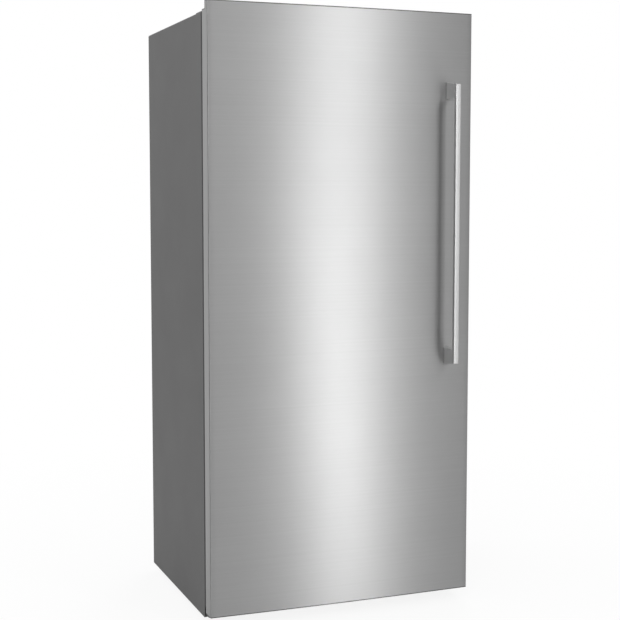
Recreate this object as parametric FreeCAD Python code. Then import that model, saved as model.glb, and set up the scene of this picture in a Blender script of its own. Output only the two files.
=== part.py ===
import FreeCAD
import Part
import math
import os

# Upright frost-free freezer with one left-hinged door. Millimetres, +Z up, the door faces -Y.
# The origin is the middle of the footprint on the floor.

V = FreeCAD.Vector

# Overall size, over the handle bar and the rear spacers
width = 796.0
height = 1725.0
depth = 723.0

# How the depth is shared, from the bar's face to the wall spacers
handle_reach = 62.0        # the bar's face stands this far in front of the door's side edges
door_bulge = 5.0           # the door's front bows forward by this at its middle
door_side_depth = 44.5     # depth of the door's side
gasket_gap = 12.5          # between the door and the cabinet
spacer_reach = 25.0        # wall spacers behind the cabinet

# Heights above the floor
skirt_z = 21.0             # lower edge of the cabinet's sides
door_bottom_z = 36.0
deck_z = 52.0              # underside of the insulated cabinet
roof_drop = 24.5           # the cabinet's roof below the door's top
door_rear_rise = 3.5       # the door's rear part stands this far over the roof
lip_depth = 21.5           # the full-height front part of the door

# Sheet, walls and clearances
sheet = 0.8
liner_wall = 2.0
side_wall = 62.0
rear_wall = 66.0
roof_wall = 64.0
floor_wall = 60.0
cabinet_radius = 5.0
door_radius = 4.0
cavity_radius = 12.0
gap = 0.3                  # between pieces that move past each other
play = 0.1                 # radial, in bushes and bearings
steel_flange = 40.0        # front frame that the gasket seals on
opening_radius = 6.0
bead_count = 4             # upright beads in the rear sheet
bead_width = 28.0
bead_slope = 5.0
bead_rise = 2.0
bead_margin = 100.0
spacer_width = 52.0        # wall spacers
spacer_height = 72.0
spacer_inset = 150.0
spacer_drop = 170.0

# Compressor space, low at the back
machine_depth = 215.0
machine_height = 210.0
cover_sheet = 1.5
gland_radius = 9.0
gland_bore_radius = 4.2
drain_hole_radius = 10.0
drain_radius = 8.0

# Door inside
cap_rim = 2.5
cap_depth = 22.0
cap_wall = 2.5
cap_rib = 2.0
cap_ribs = 5
dyke_gap = 24.0            # between the door's raised ring and the cavity's walls
dyke_width = 26.0
dyke_depth = 47.5
skin_return = 14.0         # the skin folds in by this behind the door's edge
gasket_inset = 21.0
gasket_width = 22.0
gasket_margin = 16.0
bin_count = 4
bin_height = 112.0
bin_depth = 84.0
bin_wall = 3.0
bin_dip = 16.0
bin_radius = 10.0
bin_slope = 8.0              # lean of a bin's toe under its front wall
bin_toe = 26.0
bin_lowest = 70.0          # lowest bin above the cavity's floor
bin_headroom = 150.0       # highest bin's floor below the ring's top
lug_height = 12.0
lug_width = 14.0
lug_reach = 42.0

# Hinges
hinge_inset_x = 14.0
hinge_back = 33.0          # pin behind the door's side edges
pin_radius = 5.0
pin_length = 18.0
boss_radius = 9.5
hinge_plate = 3.0
nose_radius = 10.4
hinge_plate_width = 80.0
hinge_plate_depth = 72.0
hinge_screw_setback = 56.0
hinge_screw_pitch = 29.0
bracket_thickness = 4.0
bracket_width = 78.0
bracket_screw_pitch = 19.0

# Handle
bar_length = 800.0
bar_width = 17.0
bar_thickness = 10.0
bar_lowest_z = 719.5
bar_inset = 65.0           # the bar's outer side from the door's side
bar_chamfer = 1.5
post_height = 50.0
post_flare = 9.0           # a post spreads by this towards the door

# Drawers and shelves
drawer_travel = 30.0       # free way in front of a drawer while the door is shut
drawer_heights = [178.0, 200.0, 200.0]
drawer_gap = 22.0          # between one drawer's rim and the next one's floor
drawer_wall = 2.5
drawer_draft = 8.0
drawer_front = 12.0
drawer_radius = 14.0
drawer_foot_gap = 6.0      # between a drawer and the floor or step under it
drawer_rear_gap = 8.0
rim_width = 10.0
rim_thickness = 3.5
grip_width = 170.0
grip_height = 22.0
grip_drop = 16.0
ledge_reach = 12.0
ledge_height = 12.0
shelf_count = 3
shelf_glass_thickness = 4.0
shelf_trim_height = 14.0
shelf_trim_depth = 16.0
shelf_trim_rise = 2.0      # over the glass
ice_bay = 186.0            # between the top shelf's glass and the cavity's roof

# Air duct and evaporator on the rear wall
cover_wall = 2.5
cover_reach = 80.0         # lower part, over the evaporator
duct_reach = 30.0          # upper part
evaporator_stand = 46.0    # coil over the step
cover_shoulder = 46.0      # slope from the lower part up to the duct
vent_width = 56.0
vent_height = 7.0
vent_pitch = 14.0
vents_across = 6
fin_thickness = 0.8
tube_radius = 4.0
evaporator_side_gap = 56.0
evaporator_fins = 15
evaporator_passes = 5
evaporator_pitch = 40.0
evaporator_depth = 50.0
condenser_fins = 9
condenser_passes = 4
condenser_pitch = 34.0
condenser_rows = 3
condenser_depth = 64.0
condenser_stand = 40.0
condenser_inset = 150.0     # middle of the condenser from the cabinet's side
condenser_margin = 74.0     # the coil is shorter than the compressor space by this
heater_radius = 5.0
heater_margin = 40.0        # heater's end caps from the ends of the coil
heater_rise = 12.0          # heater's axis over the step
heater_cap_width = 16.0
heater_cap_depth = 20.0
heater_cap_top = 4.0        # of a cap over its rod
drip_tray_width = 92.0
drip_tray_height = 26.0

# Fans
fan_blades = 5
fan_radius = 56.0
fan_hub_radius = 15.0
fan_hub_length = 16.0
blade_thickness = 1.6
blade_camber = 4.0
blade_root_angle = 45.0      # from the fan's axis
blade_tip_angle = 66.0
blade_root_chord = 19.0
blade_tip_chord = 34.0
fan_tip_gap = 4.0
fan_frame_size = 134.0
fan_shaft_radius = 2.0
fan_shaft_length = 12.0
fan_frame_depth = 16.0
fan_motor_gap = 4.0
fan_motor_radius = 20.0
fan_motor_length = 20.0
evaporator_fan_stand = 10.0
condenser_fan_stand = 6.0
fan_offset = 155.0          # condenser fan from the compressor's middle
guard_hub_radius = 14.0
guard_ring_radius = 38.0
guard_bar = 3.5

# Compressor
compressor_radius = 74.0
compressor_height = 158.0
compressor_shell_radius = 69.5
compressor_inset = 183.0    # middle of the compressor from the cabinet's side
suction_radius = 4.0
discharge_radius = 3.2
bolt_radius = 4.0
relay_rise = 26.0          # over the compressor's foot plate
relay_width = 56.0
relay_height = 52.0
drier_radius = 9.0
drier_length = 90.0
drier_offset = 90.0         # end of the drier from the condenser fan
stub_rise = 6.0            # pipe stubs over the shell's top
grommet_height = 12.0
plate_z = 40.0             # compressor plate
plate_thickness = 2.0

# Running gear
roller_radius = 18.0
roller_width = 22.0
roller_inset = 68.0
roller_setback = 42.0
axle_radius = 4.0
foot_inset = 75.0
foot_setback = 62.0
foot_radius = 19.0
foot_height = 8.0
stud_radius = 5.0
stud_length = 38.0
foot_nut_radius = 8.5
foot_nut_height = 5.0
foot_boss_radius = 9.0
foot_boss_height = 27.0
rail_sheet = 1.5
rail_foot = 24.0
channel_width = 48.0
channel_height = 20.0
plinth_depth = 8.0
plinth_slot_pitch = 30.0
plinth_slot_width = 18.0

# Controls, lamp and ice maker under the roof
control_width = 230.0
control_depth = 110.0
control_height = 40.0
control_wall = 2.5
control_reach = 36.0       # the box's face stands this far in front of the drawers
control_margin = 16.0       # between the control box and the cavity's wall
knob_inset = 60.0           # knob and button from the control box's end
button_inset = 130.0
lamp_gap = 30.0             # between the lamp and the control box
knob_radius = 13.0
knob_length = 11.0
knob_shaft_radius = 3.0
button_width = 26.0
button_height = 14.0
button_travel = 1.5
lamp_width = 140.0
lamp_depth = 60.0
lamp_height = 8.0
ice_width = 132.0
ice_depth = 250.0
ice_wall = 3.0
ice_floor = 2.0            # base plate of the ice frame, which the bin slides on
ice_bin_height = 66.0
tray_width = 88.0
tray_cells = 5
tray_depth = 30.0
tray_pivot_radius = 4.0
ice_knob_radius = 17.0

# Louvres, screws
louvre_width = 74.0
louvre_height = 6.0
louvre_pitch = 17.0
louvre_columns = 4
louvre_rows = 8
louvre_margin = 44.0
louvre_reach = 3.5
screw_radius = 3.0
screw_head_radius = 5.0
screw_head_height = 4.0

# Worked-out places
half = width / 2
edge_y = -depth / 2 + handle_reach
door_back_y = edge_y + door_side_depth
front_y = door_back_y + gasket_gap
back_y = depth / 2 - spacer_reach
lip_y = edge_y + lip_depth
roof_z = height - roof_drop
door_rear_z = roof_z + door_rear_rise
hinge_x = -half + hinge_inset_x
hinge_y = edge_y + hinge_back

cavity_half = half - side_wall
cavity_floor = deck_z + floor_wall
cavity_roof = roof_z - roof_wall
cavity_back = back_y - rear_wall
machine_y = back_y - machine_depth
machine_top = deck_z + machine_height
step_y = machine_y - floor_wall
step_z = machine_top + floor_wall

dyke_half = cavity_half - dyke_gap
dyke_low = cavity_floor + dyke_gap
dyke_high = cavity_roof - dyke_gap
dyke_back_y = door_back_y + dyke_depth
bin_half = dyke_half - dyke_width - gap
bin_back_y = door_back_y + bin_depth
drawer_y = bin_back_y + drawer_travel + 1.0
cover_y = cavity_back - cover_reach
duct_y = cavity_back - duct_reach
coil_top_z = step_z + evaporator_stand + evaporator_pitch * (evaporator_passes - 0.5)
fan_z = coil_top_z + 8.0 + fan_frame_size / 2
cover_top_z = fan_z + fan_frame_size / 2 + 12.0

drawer_half = cavity_half - ledge_reach - gap - 2.0
drawer_face_half = cavity_half - ledge_reach - 1.0
rim_half = cavity_half - ledge_reach + rim_width - 3.0
shelf_half = cavity_half - 5.0
shelf_front_y = drawer_y + 6.0
shelf_back_y = duct_y - 12.0
top_glass_z = cavity_roof - ice_bay

compressor_x = half - compressor_inset
condenser_x = condenser_inset - half
condenser_fan_x = compressor_x - fan_offset
pipe_end_x = condenser_fan_x - drier_offset
roller_x = half - roller_inset
foot_x = half - foot_inset
evaporator_width = 2 * (cavity_half - evaporator_side_gap)
control_x = cavity_half - control_margin - control_width
machine_mid_y = (machine_y + back_y) / 2
condenser_fan_z = plate_z + plate_thickness + fan_frame_size / 2


def block(x0, x1, y0, y1, z0, z1):
    return Part.makeBox(x1 - x0, y1 - y0, z1 - z0, V(x0, y0, z0))


def rod(radius, length, base, axis):
    return Part.makeCylinder(radius, length, base, axis)


def joined(shapes):
    """One solid of several that touch or overlap, with its seams removed."""
    return shapes[0].multiFuse(shapes[1:]).removeSplitter()


def outline(corners, radius=0.0):
    """Closed wire through the corners, each rounded by the radius, or by its own in a list."""
    count = len(corners)
    radii = radius if isinstance(radius, list) else [radius] * count
    edges = []
    starts = []
    ends = []
    for i, corner in enumerate(corners):
        to_last = (corners[i - 1] - corner).normalize()
        to_next = (corners[(i + 1) % count] - corner).normalize()
        half_angle = to_last.getAngle(to_next) / 2
        reach = radii[i] / math.tan(half_angle)
        starts.append(corner + to_last * reach)
        ends.append(corner + to_next * reach)
    for i, corner in enumerate(corners):
        if radii[i] > 0:
            to_last = (corners[i - 1] - corner).normalize()
            to_next = (corners[(i + 1) % count] - corner).normalize()
            half_angle = to_last.getAngle(to_next) / 2
            middle_way = (to_last + to_next).normalize()
            middle = corner + middle_way * (radii[i] / math.sin(half_angle) - radii[i])
            edges.append(Part.Arc(starts[i], middle, ends[i]).toShape())
        following = starts[(i + 1) % count]
        if (following - ends[i]).Length > 1e-6:
            edges.append(Part.LineSegment(ends[i], following).toShape())
    return Part.Wire(edges)


def prism(corners, radius, along):
    """The outline through the corners, extruded."""
    return Part.Face(outline(corners, radius)).extrude(along)


def plan_prism(points, z0, z1, radius=0.0):
    """A plan outline of (x, y) points, standing from z0 to z1."""
    return prism([V(x, y, z0) for x, y in points], radius, V(0, 0, z1 - z0))


def side_prism(points, x0, x1, radius=0.0):
    """A side outline of (y, z) points, running from x0 to x1."""
    return prism([V(x0, y, z) for y, z in points], radius, V(x1 - x0, 0, 0))


def front_prism(points, y0, y1, radius=0.0):
    """A front outline of (x, z) points, running from y0 to y1."""
    return prism([V(x, y0, z) for x, z in points], radius, V(0, y1 - y0, 0))


def corners_of(x0, x1, y0, y1):
    return [(x0, y0), (x1, y0), (x1, y1), (x0, y1)]


def drafted_block(x0, x1, y0, y1, z0, z1, draft, front_draft):
    """Block whose walls lean inwards by a draft towards the floor, the front one by its own."""
    face = front_prism([(x0 + draft, z0), (x1 - draft, z0), (x1, z1), (x0, z1)], y0, y1)
    flank = side_prism([(y0 + front_draft, z0), (y1 - draft, z0), (y1, z1), (y0, z1)], x0, x1)
    return face.common(flank)


def mirrored_x(shape):
    return shape.mirror(V(0, 0, 0), V(1, 0, 0))


def both_sides(shape):
    return [shape, mirrored_x(shape)]


def upright_edges(shape, at_y):
    """Vertical edges that lie on the plane y = at_y."""
    picked = []
    for edge in shape.Edges:
        box = edge.BoundBox
        if box.XLength + box.YLength < 0.01 and abs(box.YMin - at_y) < 0.01:
            picked.append(edge)
    return picked


# ---------------------------------------------------------------- cabinet

def case_block(inset, y0, y1, z0):
    """The cabinet's outer form, taken in by an inset, with rounded roof corners."""
    side = half - inset
    top = roof_z - inset
    radius = cabinet_radius - inset
    points = [(-side, z0), (side, z0), (side, top), (-side, top)]
    return front_prism(points, y0, y1, [0.0, 0.0, radius, radius])


def cavity(grown):
    """The food space with its step over the compressor, grown by a wall."""
    low = cavity_floor - grown
    side = cavity_half + grown
    radius = cavity_radius + grown
    points = [
        (front_y, low),
        (step_y + grown, low),
        (step_y + grown, step_z - grown),
        (cavity_back + grown, step_z - grown),
        (cavity_back + grown, cavity_roof + grown),
        (front_y, cavity_roof + grown),
    ]
    body = side_prism(points, -side, side, [0.0, radius, cavity_radius - grown, radius, radius, 0.0])
    rear = upright_edges(body, cavity_back + grown)
    return body.makeFillet(radius - 2.0, rear)


def hinge_screw_places():
    """Axes of the screws that hold the top hinge plate, as (x, y)."""
    return [(hinge_x + 5.0 + hinge_screw_pitch * i, front_y + hinge_screw_setback) for i in range(3)]


def lower_screw_places():
    """Screw places in the lower bracket's flange, as (x, z)."""
    middle_z = (door_bottom_z + deck_z) / 2
    return [(hinge_x + 12.0 + bracket_screw_pitch * i, middle_z) for i in range(3)]


def top_screw_holes():
    low = roof_z - 20.0
    return [rod(screw_radius + play, 30.0, V(x, y, low), V(0, 0, 1)) for x, y in hinge_screw_places()]


def frame_opening(y0, y1):
    """The opening in the cabinet's front flange, as a solid to cut or fill it."""
    side = half - steel_flange
    return ring_prism(side, deck_z + steel_flange, roof_z - steel_flange, y0, y1, opening_radius)


def cabinet_wrapper():
    """Painted sheet folded over both sides and the roof, with a flange round the door opening."""
    case = case_block(0.0, front_y, back_y, skirt_z)
    inside = case_block(sheet, front_y + sheet, back_y, skirt_z)
    opening = frame_opening(front_y - 1.0, front_y + sheet + 1.0)
    below = block(-half + sheet, half - sheet, front_y - 1.0, front_y + sheet + 1.0, 0.0, deck_z)
    return case.cut([inside, opening, below] + top_screw_holes()).removeSplitter()


def back_panel():
    """Rear sheet with upright stiffening beads, set between the sides."""
    plate = case_block(sheet, back_y - sheet, back_y, machine_top)
    base = bead_width / 2
    crest = base - bead_slope
    beads = []
    for i in range(bead_count):
        x = -half + width * (i + 0.5) / bead_count
        face = back_y + bead_rise
        section = [(x - base, back_y), (x + base, back_y), (x + crest, face), (x - crest, face)]
        beads.append(plan_prism(section, machine_top + bead_margin, roof_z - bead_margin))
    return joined([plate] + beads)


def drain_axis():
    return V(-20.0, cavity_back - 40.0, 0.0)


def cabinet_foam():
    """Insulation between the outer sheet and the liner, stepped over the compressor space."""
    filling = case_block(sheet, front_y + liner_wall, back_y - sheet, deck_z + sheet)
    machine = block(-half, half, machine_y, back_y, 0.0, machine_top)
    at = drain_axis()
    drain = rod(drain_hole_radius, floor_wall + 10.0, V(at.x, at.y, machine_top - 5.0), V(0, 0, 1))
    return filling.cut([cavity(liner_wall), machine, drain] + top_screw_holes())


def ledge(z, y0, y1):
    """A moulded runner on the right wall: flat on top, sloped below."""
    points = [
        (cavity_half, z),
        (cavity_half - ledge_reach, z),
        (cavity_half - ledge_reach, z - ledge_height / 3),
        (cavity_half, z - ledge_height),
    ]
    return front_prism(points, y0, y1)


def drawer_floors():
    """Underside of each drawer, from the bottom up: the first over the floor, the rest over the step."""
    first = cavity_floor + drawer_foot_gap
    floors = [first]
    level = max(first + drawer_heights[0] + drawer_gap, step_z + drawer_foot_gap)
    for tall in drawer_heights[1:]:
        floors.append(level)
        level += tall + drawer_gap
    return floors


def drawer_backs():
    upper = [cover_y - drawer_rear_gap] * (len(drawer_heights) - 1)
    return [step_y - drawer_rear_gap] + upper


def shelf_levels():
    """Underside of each glass shelf, spaced evenly from the drawers to the ice bay."""
    floors = drawer_floors()
    over_drawers = floors[-1] + drawer_heights[-1] + drawer_gap
    over_cover = cover_top_z + cover_shoulder + shelf_trim_height
    lowest = max(over_drawers, over_cover)
    highest = top_glass_z - shelf_glass_thickness
    return [lowest + (highest - lowest) * i / (shelf_count - 1) for i in range(shelf_count)]


def cabinet_liner():
    """Thermoformed white lining with its front flange and the runners for drawers and shelves."""
    flange = frame_opening(front_y, front_y + liner_wall)
    at = drain_axis()
    drain = rod(drain_hole_radius, 20.0, V(at.x, at.y, step_z - 10.0), V(0, 0, 1))
    shell = cavity(liner_wall).fuse(flange).cut([cavity(0.0), drain])
    ledges = []
    ledge_start = drawer_y + drawer_front + 1.0
    for floor, tall, rear in zip(drawer_floors(), drawer_heights, drawer_backs()):
        ledges += both_sides(ledge(floor + tall - rim_thickness, ledge_start, rear))
    for z in shelf_levels():
        ledges += both_sides(ledge(z, front_y + 18.0, duct_y - 8.0))
    return joined([shell] + ledges)


def front_foot_y():
    return front_y + foot_setback


def base_frame():
    """Deck sheet, side rails and front cross channel that carry the feet and the lower hinge."""
    side = half - sheet
    low = skirt_z + 1.0
    deck = block(-side, side, front_y + sheet, machine_y, deck_z, deck_z + sheet)
    rear = back_y - 2.0
    rails = both_sides(block(side - rail_sheet, side, front_y + sheet, rear, low, deck_z))
    rails += both_sides(block(side - rail_foot, side, front_y + sheet, rear, low, low + rail_sheet))
    pad_y = front_y + bracket_thickness
    pads = [
        block(-side, -side + bracket_width, pad_y, pad_y + 2.0, low, deck_z),
        block(side - 40.0, side, pad_y, pad_y + 2.0, low, deck_z),
    ]
    mid = front_foot_y()
    reach = channel_width / 2
    web = deck_z - channel_height
    channel = side_prism(
        [
            (mid - reach, deck_z),
            (mid - reach, web),
            (mid + reach, web),
            (mid + reach, deck_z),
            (mid + reach - rail_sheet, deck_z),
            (mid + reach - rail_sheet, web + rail_sheet),
            (mid - reach + rail_sheet, web + rail_sheet),
            (mid - reach + rail_sheet, deck_z),
        ],
        -side + rail_sheet,
        side - rail_sheet,
    )
    bosses = []
    holes = []
    for x in (-foot_x, foot_x):
        boss_low = deck_z - foot_boss_height
        bosses.append(rod(foot_boss_radius, foot_boss_height, V(x, mid, boss_low), V(0, 0, 1)))
        holes.append(rod(stud_radius + play, foot_boss_height, V(x, mid, boss_low - sheet), V(0, 0, 1)))
    for x, z in lower_screw_places():
        holes.append(rod(screw_radius + play, 8.0, V(x, front_y + 1.0, z), V(0, 1, 0)))
    return joined([deck, channel] + rails + pads + bosses).cut(holes).removeSplitter()


def machine_deck():
    """Sheet lining the compressor space: its front wall and its ceiling."""
    side = half - sheet
    wall = block(-side, side, machine_y, machine_y + sheet, deck_z, machine_top)
    roof = block(-side, side, machine_y, back_y - sheet, machine_top - sheet, machine_top)
    at = drain_axis()
    hole = rod(10.0, 10.0, V(at.x, at.y, machine_top - 5.0), V(0, 0, 1))
    return wall.fuse(roof).cut(hole).removeSplitter()


def compressor_plate():
    """Pressed plate across the back with turned-up edges and the roller forks."""
    side = half - sheet - 1.5
    top = plate_z + plate_thickness
    y0 = machine_y + sheet + gap
    y1 = back_y - 4.0
    profile = [
        (y0, deck_z),
        (y0, plate_z),
        (y1, plate_z),
        (y1, deck_z),
        (y1 - plate_thickness, deck_z),
        (y1 - plate_thickness, top),
        (y0 + plate_thickness, top),
        (y0 + plate_thickness, deck_z),
    ]
    plate = side_prism(profile, -side, side)
    wheel_y = back_y - roller_setback
    parts = [plate]
    cuts = []
    for x in (-roller_x, roller_x):
        inner = roller_width / 2 + gap
        for x0 in (x - inner - plate_thickness, x + inner):
            fork = side_prism(
                [
                    (wheel_y - 22.0, plate_z + 1.0),
                    (wheel_y - 10.0, roller_radius - 9.0),
                    (wheel_y + 10.0, roller_radius - 9.0),
                    (wheel_y + 22.0, plate_z + 1.0),
                ],
                x0,
                x0 + plate_thickness,
                [0.0, 8.0, 8.0, 0.0],
            )
            parts.append(fork)
        outer = inner + plate_thickness
        cuts.append(rod(axle_radius, 2 * outer + 2.0, V(x - outer - 1.0, wheel_y, roller_radius), V(1, 0, 0)))
    for foot in compressor_feet():
        cuts.append(rod(5.0, 10.0, V(foot.x, foot.y, plate_z - 4.0), V(0, 0, 1)))
    return joined(parts).cut(cuts)


def roller_axles():
    """Riveted axle pins through the roller forks."""
    wheel_y = back_y - roller_setback
    outer = roller_width / 2 + gap + plate_thickness
    pins = []
    for x in (-roller_x, roller_x):
        pin = rod(axle_radius, 2 * outer, V(x - outer, wheel_y, roller_radius), V(1, 0, 0))
        head = rod(axle_radius + 2.5, 2.0, V(x + outer, wheel_y, roller_radius), V(1, 0, 0))
        tail = rod(axle_radius + 1.5, 1.5, V(x - outer - 1.5, wheel_y, roller_radius), V(1, 0, 0))
        pins.append(joined([pin, head, tail]))
    return Part.makeCompound(pins)


def roller(x):
    """Moulded wheel with a web between its rim and its bore."""
    rim = roller_width / 2
    profile = [
        V(axle_radius + play, -rim, 0),
        V(roller_radius - 1.5, -rim, 0),
        V(roller_radius, -rim + 1.5, 0),
        V(roller_radius, rim - 1.5, 0),
        V(roller_radius - 1.5, rim, 0),
        V(axle_radius + play, rim, 0),
    ]
    body = Part.Face(outline(profile)).revolve(V(0, 0, 0), V(0, 1, 0), 360)
    groove_outer = roller_radius - 4.0
    groove_inner = axle_radius + 4.0
    ring = rod(groove_outer, 5.0, V(0, rim - 5.0, 0), V(0, 1, 0)).cut(
        rod(groove_inner, 5.0, V(0, rim - 5.0, 0), V(0, 1, 0))
    )
    body = body.cut([ring, ring.mirror(V(0, 0, 0), V(0, 1, 0))])
    body.rotate(V(0, 0, 0), V(0, 0, 1), -90)
    body.translate(V(x, back_y - roller_setback, roller_radius))
    return body


def foot(x):
    """Levelling foot: a flared pad on a stud that screws up into the front channel."""
    pad = [
        V(0, 0, 0),
        V(foot_radius - 1.0, 0, 0),
        V(foot_radius, 0, 1.0),
        V(foot_radius - 3.0, 0, foot_height - 1.5),
        V(foot_radius - 5.0, 0, foot_height),
        V(0, 0, foot_height),
    ]
    disc = Part.Face(outline(pad)).revolve(V(0, 0, 0), V(0, 0, 1), 360)
    stud = rod(stud_radius, stud_length, V(0, 0, foot_height), V(0, 0, 1))
    nut = plan_prism(hexagon(0.0, 0.0, foot_nut_radius), foot_height, foot_height + foot_nut_height)
    body = joined([disc, stud, nut])
    body.translate(V(x, front_foot_y(), 0))
    return body


def plinth_grille():
    """Dark kick panel between the front brackets, with a row of upright air slots."""
    x0 = -half + sheet + bracket_width + 2.0
    x1 = half - sheet - 42.0
    low = skirt_z + 1.0
    face = front_y + 2.0
    wall = 3.0
    panel = block(x0, x1, face, face + plinth_depth, low, deck_z - gap)
    hollow = block(x0 + wall, x1 - wall, face + wall, face + plinth_depth + 1.0, low + wall, deck_z)
    slots = []
    count = int((x1 - x0 - 2 * plinth_slot_pitch) / plinth_slot_pitch)
    start = (x0 + x1) / 2 - plinth_slot_pitch * (count - 1) / 2
    for i in range(count):
        left = start + plinth_slot_pitch * i - plinth_slot_width / 2
        right = left + plinth_slot_width
        slots.append(block(left, right, face - 1.0, face + wall + 1.0, low + 8.0, deck_z - 9.0))
    return panel.cut([hollow] + slots)


def machine_cover():
    """Rear cover of the compressor space with columns of hooded louvres."""
    side = half - sheet - 2.0
    low = skirt_z + 6.0
    plate = block(-side, side, back_y - cover_sheet, back_y, low, machine_top - 1.0)
    hoods = []
    slots = []
    for c in range(louvre_columns):
        x = -side + 2 * side * (c + 0.5) / louvre_columns
        x0 = x - louvre_width / 2
        x1 = x + louvre_width / 2
        for r in range(louvre_rows):
            z = low + louvre_margin + louvre_pitch * r
            top = z + louvre_height
            slots.append(block(x0, x1, back_y - 3.0, back_y + 3.0, z, top))
            hood = [
                (back_y - 0.5, top + 1.0),
                (back_y + louvre_reach, z + 2.0),
                (back_y + louvre_reach, z + 0.8),
                (back_y - 0.5, top - 0.2),
            ]
            hoods.append(side_prism(hood, x0 - 1.0, x1 + 1.0))
    at = gland_place()
    hole = rod(gland_radius + play, 8.0, V(at.x, back_y - 4.0, at.z), V(0, 1, 0))
    return joined([plate.cut(slots + [hole])] + hoods)


def gland_place():
    return V(half - 38.0, back_y, skirt_z + 64.0)


def cord_gland():
    """Flanged bush in the rear cover where the mains lead passes."""
    at = gland_place()
    inner = rod(gland_radius, 9.0, V(at.x, back_y - 6.0, at.z), V(0, 1, 0))
    flange = rod(gland_radius + 4.0, 3.0, V(at.x, back_y, at.z), V(0, 1, 0))
    bore = rod(gland_bore_radius, 20.0, V(at.x, back_y - 10.0, at.z), V(0, 1, 0))
    return inner.fuse(flange).cut(bore).removeSplitter()


def spacer_outline(x, y, reach_x, reach_z):
    """Rounded rectangle on the plane y, centred on a spacer."""
    z = roof_z - spacer_drop
    corners = [
        V(x - reach_x, y, z - reach_z),
        V(x + reach_x, y, z - reach_z),
        V(x + reach_x, y, z + reach_z),
        V(x - reach_x, y, z + reach_z),
    ]
    return outline(corners, 5.0)


def rear_spacers():
    """Two moulded blocks high on the back that keep the cabinet off the wall."""
    blocks = []
    for x in (-half + spacer_inset, half - spacer_inset):
        base = spacer_outline(x, back_y, spacer_width / 2, spacer_height / 2)
        tip = spacer_outline(x, back_y + spacer_reach, spacer_width / 2 - 9.0, spacer_height / 2 - 9.0)
        blocks.append(Part.makeLoft([base, tip], True, True))
    return Part.makeCompound(blocks)


# ---------------------------------------------------------------- cooling

def compressor_feet():
    """Bolt places of the compressor's four feet."""
    reach_x = compressor_radius + 4.0
    reach_y = compressor_radius - 14.0
    return [
        V(compressor_x + sx * reach_x, machine_mid_y + sy * reach_y, plate_z + plate_thickness)
        for sx in (-1, 1)
        for sy in (-1, 1)
    ]


def compressor():
    """Hermetic steel shell in two halves with a weld flange, on its foot plate."""
    r = compressor_radius
    shell = compressor_shell_radius
    seam = compressor_height * 0.55
    profile = [
        V(0, 0, 0),
        V(r * 0.54, 0, 0),
        V(r * 0.69, 0, seam * 0.07),
        V(shell - 3.0, 0, seam * 0.36),
        V(shell, 0, seam * 0.58),
        V(shell, 0, seam - 3.0),
        V(r, 0, seam - 3.0),
        V(r, 0, seam + 3.0),
        V(shell, 0, seam + 3.0),
        V(shell, 0, compressor_height * 0.74),
        V(shell - 3.0, 0, compressor_height * 0.84),
        V(r * 0.76, 0, compressor_height * 0.91),
        V(r * 0.56, 0, compressor_height * 0.97),
        V(r * 0.34, 0, compressor_height),
        V(0, 0, compressor_height),
    ]
    can = Part.Face(outline(profile)).revolve(V(0, 0, 0), V(0, 0, 1), 360)
    feet = compressor_feet()
    fx = feet[-1].x - compressor_x
    fy = feet[-1].y - machine_mid_y
    base = plan_prism(corners_of(-fx - 14, fx + 14, -fy - 12, fy + 12), 0.0, 3.0, 12.0)
    for place in feet:
        at = V(place.x - compressor_x, place.y - machine_mid_y, -2.0)
        base = base.cut(rod(bolt_radius + 2 * play, 8.0, at, V(0, 0, 1)))
    stub_low = compressor_height * 0.7
    stub_height = compressor_height + stub_rise - stub_low
    stubs = [
        rod(suction_radius, stub_height, V(-r * 0.4, r * 0.6, stub_low), V(0, 0, 1)),
        rod(discharge_radius, stub_height, V(-r * 0.62, r * 0.35, stub_low), V(0, 0, 1)),
    ]
    body = joined([can, base] + stubs)
    body.translate(V(compressor_x, machine_mid_y, plate_z + plate_thickness + grommet_height))
    return body


def compressor_grommets():
    """Rubber mounts with their bolts, between the plate and the compressor's feet."""
    mounts = []
    for place in compressor_feet():
        rubber = rod(10.0, grommet_height, place, V(0, 0, 1))
        neck_length = plate_thickness + grommet_height + 6.0
        neck = rod(bolt_radius, neck_length, V(place.x, place.y, plate_z), V(0, 0, 1))
        head = rod(8.0, 3.0, V(place.x, place.y, place.z + grommet_height + 3.0 + play), V(0, 0, 1))
        mounts.append(joined([rubber, neck, head]))
    return Part.makeCompound(mounts)


def start_relay():
    """Clip-on cover over the compressor's terminals."""
    low = plate_z + plate_thickness + grommet_height + relay_rise
    y0 = machine_y + 8.0
    y1 = machine_mid_y - compressor_shell_radius + 8.0
    x0 = compressor_x - relay_width / 2
    x1 = compressor_x + relay_width / 2
    box = plan_prism(corners_of(x0, x1, y0, y1), low, low + relay_height, [4.0, 4.0, 0.0, 0.0])
    axis = V(compressor_x, machine_mid_y, low - 20.0)
    return box.cut(rod(compressor_shell_radius + gap, compressor_height, axis, V(0, 0, 1)))


def serpentine(length, passes, pitch, radius):
    """Tube to and fro along X, stacked in Z, with three-sided bends at its turns."""
    turn = pitch / 3
    points = []
    for i in range(passes):
        z = pitch * i
        ends = [V(-length / 2, 0, z), V(length / 2, 0, z)]
        if i % 2:
            ends.reverse()
        outward = 1 if ends[1].x > 0 else -1
        points += ends
        if i < passes - 1:
            points.append(ends[1] + V(outward * turn, 0, turn))
            points.append(ends[1] + V(outward * turn, 0, pitch - turn))
    path = Part.makePolygon(points)
    section = Part.Wire(Part.makeCircle(radius, points[0], V(1, 0, 0)))
    return path.makePipeShell([section], True, True, 1)


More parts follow.
